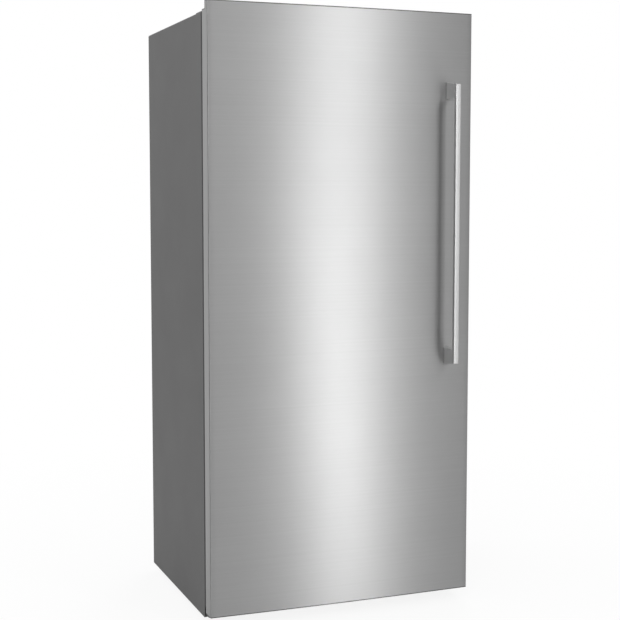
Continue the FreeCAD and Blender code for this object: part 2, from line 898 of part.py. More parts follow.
def finned_coil(length, passes, pitch, fins, coil_depth, foot_length):
    """A tube through a row of notched plates, with two longer end plates for feet."""
    tube = serpentine(length, passes, pitch, tube_radius)
    slot = tube_radius + gap / 2
    low = -pitch / 2
    high = pitch * (passes - 0.5)
    notches = [
        block(-length, length, -coil_depth, slot, pitch * i - slot, pitch * i + slot)
        for i in range(passes)
    ]
    plates = []
    span = length - 24.0
    for i in range(fins):
        x = -span / 2 + span * i / (fins - 1)
        at_end = i in (0, fins - 1)
        bottom = low - foot_length if at_end else low
        thick = 1.5 if at_end else fin_thickness
        plate = block(x - thick / 2, x + thick / 2, -coil_depth / 2, coil_depth / 2, bottom, high)
        plates.append(plate.cut(notches))
    return [tube] + plates


def coil_y():
    """Middle of the evaporator, between the air cover and the rear wall."""
    return (cover_y + cavity_back) / 2 + 1.0


def evaporator_coil():
    """Aluminium coil behind the air cover: a tube and its fins, standing on the step."""
    foot_length = evaporator_stand - evaporator_pitch / 2
    parts = finned_coil(
        evaporator_width, evaporator_passes, evaporator_pitch, evaporator_fins, evaporator_depth, foot_length
    )
    coil = Part.makeCompound(parts)
    coil.translate(V(0, coil_y(), step_z + evaporator_stand + play))
    return coil


def defrost_heater():
    """Heater rod under the coil, held in end caps that stand on the step."""
    z = step_z + heater_rise
    top = z + heater_radius + heater_cap_top
    reach = evaporator_width / 2 - heater_margin
    wide = heater_cap_width / 2
    y0 = coil_y() - heater_cap_depth / 2
    y1 = coil_y() + heater_cap_depth / 2
    body = rod(heater_radius, 2 * reach, V(-reach, coil_y(), z), V(1, 0, 0))
    caps = [block(x - wide, x + wide, y0, y1, step_z + play, top) for x in (-reach, reach)]
    return joined([body] + caps)


def cover_profile(inset, over):
    """Side outline of the air cover, its face taken in by a wall, carried past its open sides by over."""
    back = cavity_back + over
    low = step_z - over
    high = cavity_roof + over
    return [
        (back, low),
        (cover_y + inset, low),
        (cover_y + inset, cover_top_z - inset / 2),
        (duct_y + inset, cover_top_z + cover_shoulder - inset / 2),
        (duct_y + inset, high),
        (back, high),
    ]


def evaporator_cover():
    """White moulded air duct on the rear wall, deeper over the coil, with rows of air vents."""
    side = cavity_half - gap
    radii = [0.0, 0.0, 14.0, 14.0, 0.0, 0.0]
    outer = side_prism(cover_profile(0.0, 1.0), -side, side, radii).common(cavity(-gap))
    inner = side_prism(cover_profile(cover_wall, 2.0), -side + cover_wall, side - cover_wall, radii)
    rows = [(cover_y, step_z + 20.0), (cover_y, step_z + 20.0 + vent_pitch)]
    for level in shelf_levels():
        rows += [(duct_y, level + 60.0), (duct_y, level + 60.0 + vent_pitch)]
    vents = []
    spacing = 2 * side / vents_across
    for y, z in rows:
        for i in range(vents_across):
            left = -side + spacing * (i + 0.5) - vent_width / 2
            vents.append(block(left, left + vent_width, y - 5.0, y + 6.0, z, z + vent_height))
    bore = rod(fan_radius + fan_tip_gap, 12.0, V(0, cover_y - 6.0, fan_z), V(0, 1, 0))
    shell = outer.cut([inner, bore] + vents)
    return shell.fuse(fan_guard(cover_y, fan_z)).removeSplitter()


def fan_guard(y, z):
    """A ring and spokes over the fan's opening, moulded into the cover."""
    hub = rod(guard_hub_radius, cover_wall, V(0, y, z), V(0, 1, 0))
    ring = rod(guard_ring_radius, cover_wall, V(0, y, z), V(0, 1, 0))
    ring = ring.cut(rod(guard_ring_radius - guard_bar, cover_wall, V(0, y, z), V(0, 1, 0)))
    pieces = [hub, ring]
    reach = fan_radius + fan_tip_gap + 2.0
    for i in range(3):
        bar = block(-reach, reach, y, y + cover_wall, z - guard_bar / 2, z + guard_bar / 2)
        bar.rotate(V(0, y, z), V(0, 1, 0), 60.0 * i + 30.0)
        pieces.append(bar)
    return joined(pieces)


def fan_frame(stand_off):
    """Square fan frame on four feet, its motor held behind by struts. Axis +Y, blades towards -Y."""
    side = fan_frame_size / 2
    plate = ring_prism(side, -side, side, 0.0, fan_frame_depth, 8.0)
    bore = rod(fan_radius + fan_tip_gap, fan_frame_depth + 2.0, V(0, -1.0, 0), V(0, 1, 0))
    feet = []
    corner = side - 9.0
    for sx in (-1, 1):
        for sz in (-1, 1):
            feet.append(rod(5.0, stand_off, V(sx * corner, -stand_off, sz * corner), V(0, 1, 0)))
    motor_y = fan_frame_depth + fan_motor_gap
    motor = rod(fan_motor_radius, fan_motor_length, V(0, motor_y, 0), V(0, 1, 0))
    shaft_hole = rod(fan_shaft_radius + play, fan_shaft_length, V(0, motor_y - 1.0, 0), V(0, 1, 0))
    struts = []
    reach = fan_radius + fan_tip_gap + 5.0
    strut_half = 3.0
    strut_back = motor_y + 4.0
    for i in range(3):
        strut = block(12.0, reach, motor_y, strut_back, -strut_half, strut_half)
        leg = block(reach - 4.0, reach, fan_frame_depth - 1.0, strut_back, -strut_half, strut_half)
        arm = strut.fuse(leg)
        arm.rotate(V(0, 0, 0), V(0, 1, 0), 120.0 * i + 90.0)
        struts.append(arm)
    return joined([plate.cut(bore), motor] + feet + struts).cut(shaft_hole)


def blade_section(radius, chord, angle):
    """Cambered blade section on a cylinder's tangent plane at a radius, pitched by its angle."""
    lean = math.radians(angle)
    along = V(0, math.cos(lean), math.sin(lean))
    across = V(0, -math.sin(lean), math.cos(lean))
    nose = V(radius, 0, 0) - along * (chord / 2)
    tail = V(radius, 0, 0) + along * (chord / 2)
    edge = across * (blade_thickness / 4)
    crest = [V(radius, 0, 0) + across * blade_camber + along * (chord * share) for share in (-0.2, 0.2)]
    thick = across * (blade_thickness / 2)
    upper = [at + thick for at in crest]
    lower = [at - thick for at in reversed(crest)]
    around = [nose + edge] + upper + [tail + edge, tail - edge] + lower
    return Part.makePolygon(around + [nose - edge, nose + edge])


def fan_wheel():
    """Axial fan: twisted cambered blades lofted from hub to tip, on a domed hub with its shaft. Axis +Y."""
    hub = rod(fan_hub_radius, fan_hub_length, V(0, 0, 0), V(0, 1, 0))
    hub = hub.makeChamfer(3.0, [e for e in hub.Edges if abs(e.BoundBox.YMax) < 0.01])
    root = blade_section(fan_hub_radius - 3.0, blade_root_chord, blade_root_angle)
    tip = blade_section(fan_radius, blade_tip_chord, blade_tip_angle)
    blade = Part.makeLoft([root, tip], True, True)
    blade.translate(V(0, fan_hub_length / 2, 0))
    blades = []
    for i in range(fan_blades):
        copy = blade.copy()
        copy.rotate(V(0, 0, 0), V(0, 1, 0), 360.0 * i / fan_blades)
        blades.append(copy)
    rim = rod(fan_radius, 3 * fan_hub_length, V(0, -fan_hub_length, 0), V(0, 1, 0))
    shaft = rod(fan_shaft_radius, fan_shaft_length, V(0, fan_hub_length - 1.0, 0), V(0, 1, 0))
    wheel = joined([hub, shaft] + blades).common(rim)
    wheel.translate(V(0, fan_frame_depth + fan_motor_gap - gap - fan_hub_length, 0))
    return wheel


def evaporator_fan_y():
    """Front plane of the evaporator fan's frame, behind the cover's face."""
    return cover_y + cover_wall + evaporator_fan_stand


def evaporator_fan_frame():
    frame = fan_frame(evaporator_fan_stand)
    frame.translate(V(0, evaporator_fan_y(), fan_z))
    return frame


def evaporator_fan():
    wheel = fan_wheel()
    wheel.translate(V(0, evaporator_fan_y(), fan_z))
    return wheel


def facing_x(shape):
    """Turns a fan built along +Y to blow along +X, at the condenser fan's place."""
    shape.rotate(V(0, 0, 0), V(0, 0, 1), -90)
    shape.translate(V(condenser_fan_x, machine_mid_y, condenser_fan_z))
    return shape


def condenser_fan_frame():
    return facing_x(fan_frame(condenser_fan_stand))


def condenser_fan():
    return facing_x(fan_wheel())


def condenser():
    """Tube-and-fin rows beside the fan, on feet that stand on the compressor plate."""
    length = machine_depth - condenser_margin
    solids = []
    for i in range(condenser_rows):
        row = finned_coil(
            length, condenser_passes, condenser_pitch, condenser_fins, condenser_depth, condenser_stand
        )
        for piece in row:
            piece.translate(V(0, (i - (condenser_rows - 1) / 2) * (condenser_depth + 2.0), 0))
        solids += row
    coil = Part.makeCompound(solids)
    coil.rotate(V(0, 0, 0), V(0, 0, 1), 90)
    low = plate_z + plate_thickness + condenser_stand + condenser_pitch / 2
    coil.translate(V(condenser_x, machine_mid_y, low))
    return coil


def drip_tray():
    """Shallow tray under the condenser where the defrost water dries off."""
    low = plate_z + plate_thickness
    wall = 2.0
    reach = drip_tray_width / 2
    y0 = machine_mid_y - reach
    y1 = machine_mid_y + reach
    x0 = -half + 26.0
    outer = plan_prism(corners_of(x0, 0.0, y0, y1), low, low + drip_tray_height, 10.0)
    floor = corners_of(x0 + wall, -wall, y0 + wall, y1 - wall)
    inner = plan_prism(floor, low + wall, low + drip_tray_height + 1.0, 10.0 - wall)
    return outer.cut(inner)


def drain_tube():
    """Funnel and tube that lead defrost water from the step down to the tray."""
    at = drain_axis()
    low = plate_z + plate_thickness + drip_tray_height + 4.0
    tube = rod(drain_radius, step_z - low, V(at.x, at.y, low), V(0, 0, 1))
    flange = rod(drain_radius + 6.0, 2.0, V(at.x, at.y, step_z), V(0, 0, 1))
    bore = rod(drain_radius - 1.5, step_z, V(at.x, at.y, low - 5.0), V(0, 0, 1))
    return tube.fuse(flange).cut(bore).removeSplitter()


def pipe(points, radius):
    """Round pipe along straight runs with mitred turns."""
    path = Part.makePolygon(points)
    section = Part.Wire(Part.makeCircle(radius, points[0], points[1] - points[0]))
    return path.makePipeShell([section], True, True, 1)


def refrigerant_pipes():
    """Discharge and suction pipes from the compressor, and the filter drier."""
    top = plate_z + plate_thickness + grommet_height + compressor_height + stub_rise + play
    ceiling = machine_top - sheet
    suction_x = compressor_x - compressor_radius * 0.4
    suction_y = machine_mid_y + compressor_radius * 0.6
    suction = rod(suction_radius, ceiling - gap - top, V(suction_x, suction_y, top), V(0, 0, 1))
    out_x = compressor_x - compressor_radius * 0.62
    out_y = machine_mid_y + compressor_radius * 0.35
    high = machine_top - 26.0
    bend = 10.0
    line = [
        V(out_x, out_y, top),
        V(out_x, out_y, high - bend),
        V(out_x - bend, out_y, high),
        V(pipe_end_x, out_y, high),
    ]
    discharge = pipe(line, discharge_radius)
    drier = rod(drier_radius, drier_length, V(pipe_end_x - drier_length, out_y, high), V(1, 0, 0))
    drier = drier.makeChamfer(3.0, drier.Edges[:1] + drier.Edges[2:])
    strap_x = pipe_end_x - drier_length / 2
    strap = block(strap_x - 5.0, strap_x + 5.0, out_y - 1.5, out_y + 1.5, high + drier_radius - 1.0, ceiling)
    return Part.makeCompound([suction, joined([drier, discharge, strap])])


# ---------------------------------------------------------------- door

def door_form(inset, z0, z_front, z_rear, lip):
    """The door's outer form taken in by an inset: bowed front, rounded edges, lower behind its lip."""
    side = half - inset
    y_side = edge_y + inset
    left = V(-side, y_side, z0)
    right = V(side, y_side, z0)
    bow = Part.Arc(left, V(0, y_side - door_bulge, z0), right).toShape()
    back_right = V(side, door_back_y, z0)
    back_left = V(-side, door_back_y, z0)
    edges = [
        bow,
        Part.LineSegment(right, back_right).toShape(),
        Part.LineSegment(back_right, back_left).toShape(),
        Part.LineSegment(back_left, left).toShape(),
    ]
    body = Part.Face(Part.Wire(edges)).extrude(V(0, 0, z_front - z0))
    rounding = max(door_radius - inset, 0.5)
    body = body.makeFillet(rounding, upright_edges(body, y_side))
    return body.cut(block(-width, width, lip, lip + depth, z_rear, height + 10.0))


def door_skin():
    """Brushed steel sheet folded round the door's front and sides, with a return at the back."""
    low = door_bottom_z + cap_rim
    outer = door_form(0.0, low, height - cap_rim, door_rear_z - cap_rim, lip_y - cap_rim)
    inner = door_form(sheet, low - 5.0, height, height, depth)
    side = half - skin_return
    back = block(-width, width, door_back_y - sheet, door_back_y + 1.0, 0.0, height)
    opening = block(-side, side, door_back_y - sheet, door_back_y + 1.0, 0.0, height)
    return joined([outer.cut(inner), outer.common(back.cut(opening))])


def cap_boss(z0, z1):
    return rod(boss_radius, z1 - z0, V(hinge_x, hinge_y, z0), V(0, 0, 1))


def door_top_cap():
    """Dark end cap over the door's top, ribbed inside, with the upper hinge bush."""
    low = door_rear_z - cap_depth
    fit = sheet + play
    wall_y = door_back_y - fit
    under_rim = door_form(fit, low, height - cap_rim, door_rear_z - cap_rim, lip_y - cap_rim)
    plug = under_rim.common(block(-width, width, -depth, wall_y, low, height))
    rim = door_form(0.0, low, height, door_rear_z, lip_y)
    rim = rim.cut(door_form(0.0, low - 5.0, height - cap_rim, door_rear_z - cap_rim, lip_y - cap_rim))
    roof = 2 * cap_rim
    hollow = door_form(fit + cap_wall, low - 5.0, height - roof, door_rear_z - roof, lip_y - roof)
    hollow = hollow.common(block(-width, width, -depth, wall_y - cap_wall, low - 5.0, height))
    ribs = []
    for x in cap_rib_places():
        rib = block(x - cap_rib / 2, x + cap_rib / 2, edge_y, wall_y - cap_wall, low, door_rear_z - cap_rim)
        ribs.append(rib.common(under_rim))
    bore_low = door_rear_z - pin_length - 2.0
    bore = rod(pin_radius + play, pin_length + 4.0, V(hinge_x, hinge_y, bore_low), V(0, 0, 1))
    return joined([plug.cut(hollow), rim, cap_boss(low, door_rear_z)] + ribs).cut(bore)


def cap_rib_places():
    return [-half + width * i / (cap_ribs + 1) for i in range(1, cap_ribs + 1)]


def door_bottom_cap():
    """Dark end cap under the door, ribbed inside, with the lower hinge bush."""
    top = door_bottom_z + cap_depth
    fit = sheet + play
    wall_y = door_back_y - fit
    floor = door_bottom_z + cap_rim
    over_rim = door_form(fit, floor, top, top, depth)
    plug = over_rim.common(block(-width, width, -depth, wall_y, 0.0, height))
    rim = door_form(0.0, door_bottom_z, floor, floor, depth)
    hollow = door_form(fit + cap_wall, door_bottom_z + 2 * cap_rim, top + 5.0, top + 5.0, depth)
    hollow = hollow.common(block(-width, width, -depth, wall_y - cap_wall, 0.0, height))
    ribs = []
    for x in cap_rib_places():
        rib = block(x - cap_rib / 2, x + cap_rib / 2, edge_y, wall_y - cap_wall, floor, top)
        ribs.append(rib.common(over_rim))
    bore = rod(pin_radius + play, pin_length + 2.0, V(hinge_x, hinge_y, door_bottom_z - 1.0), V(0, 0, 1))
    return joined([plug.cut(hollow), rim, cap_boss(door_bottom_z, top)] + ribs).cut(bore)


def ring_prism(side, low, high, y0, y1, radius):
    return front_prism([(-side, low), (side, low), (side, high), (-side, high)], y0, y1, radius)


def dyke(inset, y1):
    """The raised ring on the door's inside, taken in by an inset on every side."""
    outer = ring_prism(dyke_half - inset, dyke_low + inset, dyke_high - inset, door_back_y, y1, 22.0 - inset)
    inward = dyke_width - inset
    low = dyke_low + inward
    high = dyke_high - inward
    return outer.cut(ring_prism(dyke_half - inward, low, high, door_back_y - 1.0, y1 + 1.0, 8.0 + inset))


def dyke_filling():
    """The insulated core of the raised ring, carried forward into the door."""
    core = dyke(liner_wall + 1.0, dyke_back_y - liner_wall - 5.0)
    return core.fuse(core.translated(V(0, -liner_wall, 0)))


def door_liner_low():
    return door_bottom_z + cap_depth


def door_liner_high():
    return door_rear_z - cap_depth


def bin_floors():
    """Underside of each door bin, evenly spaced."""
    lowest = cavity_floor + bin_lowest
    highest = dyke_high - bin_headroom
    return [lowest + (highest - lowest) * i / (bin_count - 1) for i in range(bin_count)]


def door_liner():
    """White inner panel with its raised ring and the lugs that carry the bins."""
    side = half - skin_return - gap
    low = door_liner_low() + gap
    high = door_liner_high() - gap
    plate = ring_prism(side, low, high, door_back_y - liner_wall, door_back_y, 6.0)
    ring = dyke(0.0, dyke_back_y)
    crest = [e for e in ring.Edges if abs(e.BoundBox.YMin - dyke_back_y) < 0.01 and e.BoundBox.YLength < 0.01]
    ring = ring.makeChamfer(5.0, crest)
    lugs = []
    lug_end = door_back_y + lug_reach
    for floor in bin_floors():
        top = floor - gap
        section = [
            (door_back_y - 1.0, top),
            (lug_end, top),
            (lug_end, top - 4.0),
            (door_back_y - 1.0, top - lug_height - 4.0),
        ]
        lugs += both_sides(side_prism(section, bin_half + gap - lug_width, bin_half + gap + 2.0))
    return joined([plate, ring] + lugs).cut(dyke_filling()).removeSplitter()


def door_foam():
    """Insulation inside the door: a slab behind the skin, and the core of the raised ring on it."""
    low = door_liner_low()
    high = door_liner_high()
    back = door_back_y - liner_wall
    core = door_form(sheet, low, high, high, depth)
    slab = core.common(block(-width, width, -depth, back, low, high))
    ring = dyke_filling().common(block(-width, width, back + gap, depth, low, high))
    return Part.makeCompound([slab, ring])


def door_gasket():
    """Magnetic door seal, a plain soft frame just clear of the cabinet."""
    side = half - gasket_inset
    low = deck_z + gasket_margin
    high = roof_z - gasket_margin
    outer = ring_prism(side, low, high, door_back_y, front_y - gap, 6.0)
    inner_low = low + gasket_width
    inner_high = high - gasket_width
    return outer.cut(ring_prism(side - gasket_width, inner_low, inner_high, door_back_y - 1.0, front_y, 4.0))


def bin_form(inset, y0, y1, z0, z1):
    """Outside of a door bin taken in by an inset: a sloped toe under its front wall, round corners."""
    side = bin_half - inset
    radius = bin_radius - inset
    points = [(y0, z0), (y1 - bin_slope, z0), (y1, z0 + bin_toe), (y1, z1), (y0, z1)]
    flank = side_prism(points, -side, side, [0.0, radius, radius, 0.0, 0.0])
    return flank.common(plan_prism(corners_of(-side, side, y0, y1), z0, z1, [0.0, 0.0, radius, radius]))


def door_bin(floor):
    """Clear moulded bin: sloped front wall, rounded corners and a dipped top edge."""
    y0 = door_back_y + gap
    y1 = bin_back_y
    top = floor + bin_height
    w = bin_wall
    outer = bin_form(0.0, y0, y1, floor, top)
    inner = bin_form(w, y0 + w, y1 - w, floor + w, top + 2.0)
    wide = bin_half - 60.0
    narrow = wide - 20.0
    low = top - bin_dip
    dip = front_prism(
        [(-wide, top + 1.0), (-narrow, low), (narrow, low), (wide, top + 1.0)],
        y1 - 12.0,
        y1 + 1.0,
        [0.0, 8.0, 8.0, 0.0],
    )
    return outer.cut([inner, dip])


def bar_left_x():
    return half - bar_inset - bar_width


def handle_bar():
    """Flat upright bar with chamfered edges and ends."""
    x0 = bar_left_x()
    y0 = -depth / 2
    bar = block(x0, x0 + bar_width, y0, y0 + bar_thickness, bar_lowest_z, bar_lowest_z + bar_length)
    front_edges = [e for e in bar.Edges if abs(e.BoundBox.YMin - y0) < 0.01 and e.BoundBox.YLength < 0.01]
    return bar.makeChamfer(bar_chamfer, front_edges)


def handle_posts():
    """Two stand-offs that flare towards the door and follow its bowed front."""
    x0 = bar_left_x()
    x1 = x0 + bar_width
    front = -depth / 2 + bar_thickness
    deep = edge_y + 4.0
    low = bar_lowest_z
    high = bar_lowest_z + bar_length
    inner = post_height - post_flare
    upper = [(front, high - inner), (front, high), (deep, high + post_flare), (deep, high - inner)]
    lower = [(front, low), (front, low + inner), (deep, low + inner), (deep, low - post_flare)]
    door = door_form(0.0, door_bottom_z, height, height, depth)
    return Part.makeCompound([side_prism(section, x0, x1).cut(door) for section in (upper, lower)])


def top_hinge_plate():
    """Steel plate on the roof, stepped up over the door, with the upper pin."""
    x = hinge_x
    y = hinge_y
    raised = door_rear_z + 1.0
    right = x + nose_radius + 8.0
    rear = front_y + hinge_plate_depth
    nose = rod(nose_radius, height, V(x, y, 0), V(0, 0, 1))
    arm_plan = [(x - 8.2, y + 6.0), (x + nose_radius, y), (right, front_y), (x + 0.5, front_y)]
    arm = plan_prism(arm_plan, 0.0, height)
    plate = plan_prism(
        [
            (x + 0.5, front_y - 1.0),
            (right, front_y - 1.0),
            (x + hinge_plate_width, rear - 34.0),
            (x + hinge_plate_width, rear),
            (x - 8.0, rear),
            (x - 8.0, front_y + 8.0),
        ],
        0.0,
        height,
        [0.0, 0.0, 6.0, 6.0, 6.0, 0.0],
    )
    step = front_y + 6.0
    side_view = side_prism(
        [
            (y - 20.0, raised),
            (step, raised),
            (step, roof_z),
            (rear + 8.0, roof_z),
            (rear + 8.0, roof_z + hinge_plate),
            (step + hinge_plate, roof_z + hinge_plate),
            (step + hinge_plate, raised + hinge_plate),
            (y - 20.0, raised + hinge_plate),
        ],
        -width,
        width,
    )
    body = joined([nose, arm, plate]).common(side_view)
    pin = rod(pin_radius, pin_length, V(x, y, raised - pin_length + 1.0), V(0, 0, 1))
    return joined([body.cut(top_screw_holes()), pin])


def bottom_hinge_bracket():
    """Dark bracket on the base: a flange with screw holes, a shelf under the door and the lower pin."""
    x = hinge_x
    y = hinge_y
    top = door_bottom_z - 2.5
    flange_y = front_y + bracket_thickness
    left = -half + sheet + 2.5
    right = -half + sheet + bracket_width
    shelf = plan_prism(
        [
            (x - 12.0, y - 4.0),
            (x - 4.0, y - 13.0),
            (x + 12.0, y - 13.0),
            (right - 4.0, flange_y - 20.0),
            (right - 4.0, flange_y),
            (left, flange_y),
            (left, y),
        ],
        top - bracket_thickness,
        top,
        [3.0, 6.0, 8.0, 8.0, 0.0, 0.0, 3.0],
    )
    flange = block(left, right, flange_y - 3.0, flange_y, skirt_z + 3.0, deck_z - 1.0)
    holes = []
    for sx, sz in lower_screw_places():
        holes.append(rod(screw_radius + play, 12.0, V(sx, flange_y - 6.0, sz), V(0, 1, 0)))
    collar = rod(8.0, door_bottom_z - gap - top, V(x, y, top), V(0, 0, 1))
    pin = rod(pin_radius, pin_length, V(x, y, top - 1.0), V(0, 0, 1))
    return joined([shelf, flange, collar, pin]).cut(holes)


def hinge_screws():
    """Hexagon-headed screws of both hinges."""
    screws = []
    top = roof_z + hinge_plate
    for x, y in hinge_screw_places():
        head = plan_prism(hexagon(x, y, screw_head_radius), top, top + screw_head_height)
        shank = rod(screw_radius, 16.0, V(x, y, top - 15.0), V(0, 0, 1))
        screws.append(joined([head, shank]))
    face = front_y + 1.0
    for x, z in lower_screw_places():
        head = front_prism(hexagon(x, z, screw_head_radius), face - screw_head_height, face)
        shank = rod(screw_radius, 9.0, V(x, face - 1.0, z), V(0, 1, 0))
        screws.append(joined([head, shank]))
    return Part.makeCompound(screws)


def hexagon(a, b, radius):
    angles = [math.pi * i / 3 for i in range(6)]
    return [(a + radius * math.cos(t), b + radius * math.sin(t)) for t in angles]


# ---------------------------------------------------------------- inside

def drawer_tub(inset, y0, y1, z0, z1):
    """Drafted form of a drawer, taken in by an inset, with its rear corners rounded."""
    side = drawer_half - inset
    body = drafted_block(-side, side, y0, y1, z0, z1, drawer_draft, 0.0)
    rear = [e for e in body.Edges if e.BoundBox.YMax > y1 - 0.01 and e.BoundBox.ZLength > z1 - z0 - 0.01]
    return body.makeFillet(drawer_radius - inset, rear)


def drawer(floor, tall, rear):
    """Clear moulded drawer: drafted tub, side rims on the runners, a thick front with a scooped grip."""
    low = floor + gap
    top = floor + tall
    w = drawer_wall
    face_back = drawer_y + drawer_front
    y0 = face_back - 1.0
    tub = drawer_tub(0.0, y0, rear, low, top)
    inside = drawer_tub(w, y0 + w, rear - w, low + w, top + 1.0)
    front = ring_prism(drawer_face_half, low, top, drawer_y, face_back, 6.0)
    rims = both_sides(block(drawer_half - 2.0, rim_half, y0, rear, top - rim_thickness + gap, top))
    grip_top = top - grip_drop
    grip = ring_prism(grip_width / 2, grip_top - grip_height, grip_top, drawer_y - 1.0, face_back - 3.0, 8.0)
    return joined([tub, front] + rims).cut([inside, grip]).removeSplitter()


def shelf_glass(z):
    """Toughened glass plate lying on its side runners."""
    return block(-shelf_half, shelf_half, shelf_front_y, shelf_back_y, z, z + shelf_glass_thickness)


def shelf_trims():
    """Moulded front and rear trims gripping the edge of each glass."""
    trims = []
    side = shelf_half - ledge_reach
    lap = 4.0
    for z in shelf_levels():
        high = z + shelf_glass_thickness + shelf_trim_rise
        low = high - shelf_trim_height
        for edge, way in ((shelf_front_y, 1.0), (shelf_back_y, -1.0)):
            outer = edge - way * lap
            inner = edge + way * (shelf_trim_depth - lap)
            section = [(outer, low), (inner, low + 2.0), (inner, high - 2.0), (outer, high)]
            strip = side_prism(section, -side, side, [2.0, 0.0, 0.0, 2.0])
            far = inner + way
            slot = block(-half, half, min(edge, far), max(edge, far), z, z + shelf_glass_thickness)
            trims.append(strip.cut(slot))
    return Part.makeCompound(trims)


def control_housing():
    """Hollow control box under the cavity's roof, with a bushed bore for the knob and a button pocket."""
    y0 = control_face_y()
    y1 = y0 + control_depth
    z0 = cavity_roof - control_height
    x0 = control_x
    x1 = control_x + control_width
    outer = [(y0, z0 + 6.0), (y0 + 14.0, z0), (y1, z0 + 16.0), (y1, cavity_roof), (y0, cavity_roof)]
    box = side_prism(outer, x0, x1, [3.0, 8.0, 4.0, 0.0, 0.0])
    w = control_wall
    over = cavity_roof + 1.0
    inner = [(y0 + w, z0 + 8.0), (y0 + 14.0, z0 + w), (y1 - w, z0 + 16.0 + w), (y1 - w, over), (y0 + w, over)]
    hollow = side_prism(inner, x0 + w, x1 - w)
    z = control_face_z()
    bush = rod(knob_shaft_radius + 3.5, 14.0, V(knob_x(), y0 + 1.0, z), V(0, 1, 0))
    bore = rod(knob_shaft_radius + play, 12.0, V(knob_x(), y0 - 1.0, z), V(0, 1, 0))
    side = button_width / 2 + gap
    rise = button_height / 2 + gap
    bx = button_x()
    sleeve = block(bx - side - w, bx + side + w, y0 + 1.0, y0 + 14.0, z - rise - w, z + rise + w)
    pocket = block(bx - side, bx + side, y0 - 1.0, y0 + 12.0, z - rise, z + rise)
    return joined([box.cut(hollow), bush, sleeve.common(box)]).cut([bore, pocket])


def control_face_z():
    return cavity_roof - control_height / 2 + 3.0


def control_face_y():
    return drawer_y - control_reach


def knob_x():
    return control_x + knob_inset


def button_x():
    return control_x + button_inset


def temperature_knob():
    """Dial with a finger bar across it, on a shaft in the control box."""
    y1 = control_face_y() - gap
    y0 = y1 - knob_length
    z = control_face_z()
    x = knob_x()
    dial = rod(knob_radius, knob_length, V(x, y0, z), V(0, 1, 0))
    dial = dial.makeChamfer(1.2, [e for e in dial.Edges if abs(e.BoundBox.YMax - y0) < 0.01])
    reach = knob_radius - 1.0
    grip = block(x - 2.2, x + 2.2, y0 - 3.0, y1 - 2.0, z - reach, z + reach)
    shaft = rod(knob_shaft_radius, 10.0, V(x, y1 - 1.0, z), V(0, 1, 0))
    return joined([dial, grip, shaft])


def fast_freeze_button():
    """Push button in its pocket, standing proud by its travel and a little more."""
    y0 = control_face_y() - button_travel - 1.0
    z = control_face_z()
    x = button_x()
    side = button_width / 2
    rise = button_height / 2
    section = [(x - side, z - rise), (x + side, z - rise), (x + side, z + rise), (x - side, z + rise)]
    cap = front_prism(section, y0, y0 + 9.0, 3.0)
    return cap.makeChamfer(0.8, [e for e in cap.Edges if abs(e.BoundBox.YMax - y0) < 0.01])


def lamp():
    """Clear lamp cover with rounded corners on the cavity's roof."""
    x1 = control_x - lamp_gap
    z0 = cavity_roof - lamp_height
    plan = corners_of(x1 - lamp_width, x1, drawer_y, drawer_y + lamp_depth)
    body = plan_prism(plan, z0, cavity_roof, 10.0)
    return body.makeChamfer(2.5, [e for e in body.Edges if abs(e.BoundBox.ZMax - z0) < 0.01])


def ice_left_x():
    return -cavity_half + ledge_reach + 6.0


def ice_front_y():
    return drawer_y + 30.0


def tray_axis():
    """Middle of the ice tray's turning axis at the frame's front."""
    reach = math.hypot(tray_width / 2, tray_depth)
    return V(ice_left_x() + ice_width / 2, ice_front_y(), cavity_roof - 16.0 - reach)


def ice_frame():
    """Open frame on the top shelf: two side walls, a top rail, a rear wall and a front bar for the tray."""
    x0 = ice_left_x()
    x1 = x0 + ice_width
    y0 = ice_front_y()
    y1 = y0 + ice_depth
    low = top_glass_z + gap
    high = cavity_roof - 8.0
    box = block(x0, x1, y0, y1, low, high)
    inside = block(x0 + ice_wall, x1 - ice_wall, y0 - 1.0, y1 - ice_wall, low + ice_floor, high - ice_wall)
    window_low = low + ice_bin_height + 20.0
    margin = 24.0
    window = side_prism(
        [
            (y0 + margin, window_low),
            (y1 - margin, window_low),
            (y1 - margin, high - 20.0),
            (y0 + margin, high - 20.0),
        ],
        x0 - 1.0,
        x1 + 1.0,
        8.0,
    )
    at = tray_axis()
    bar = block(x0 + 1.0, x1 - 1.0, y0, y0 + ice_wall, at.z - 10.0, at.z + 10.0)
    hole = rod(tray_pivot_radius + play, ice_depth + 20.0, V(at.x, y0 - 5.0, at.z), V(0, 1, 0))
    return joined([box.cut([inside, window]), bar]).cut(hole)


def tray_cell_cuts(at, top, low, y0, y1):
    """Drafted cells in two rows along the tray."""
    cells = []
    rib = 3.0
    draft = 4.0
    side = tray_width / 2 - 5.0
    pitch = (y1 - y0 - rib) / tray_cells
    for i in range(tray_cells):
        ya = y0 + rib + pitch * i
        yb = ya + pitch - rib
        for x0, x1 in ((at.x - side, at.x - rib / 2), (at.x + rib / 2, at.x + side)):
            cells.append(drafted_block(x0, x1, ya, yb, low + 2.5, top + play, draft, draft))
    return cells


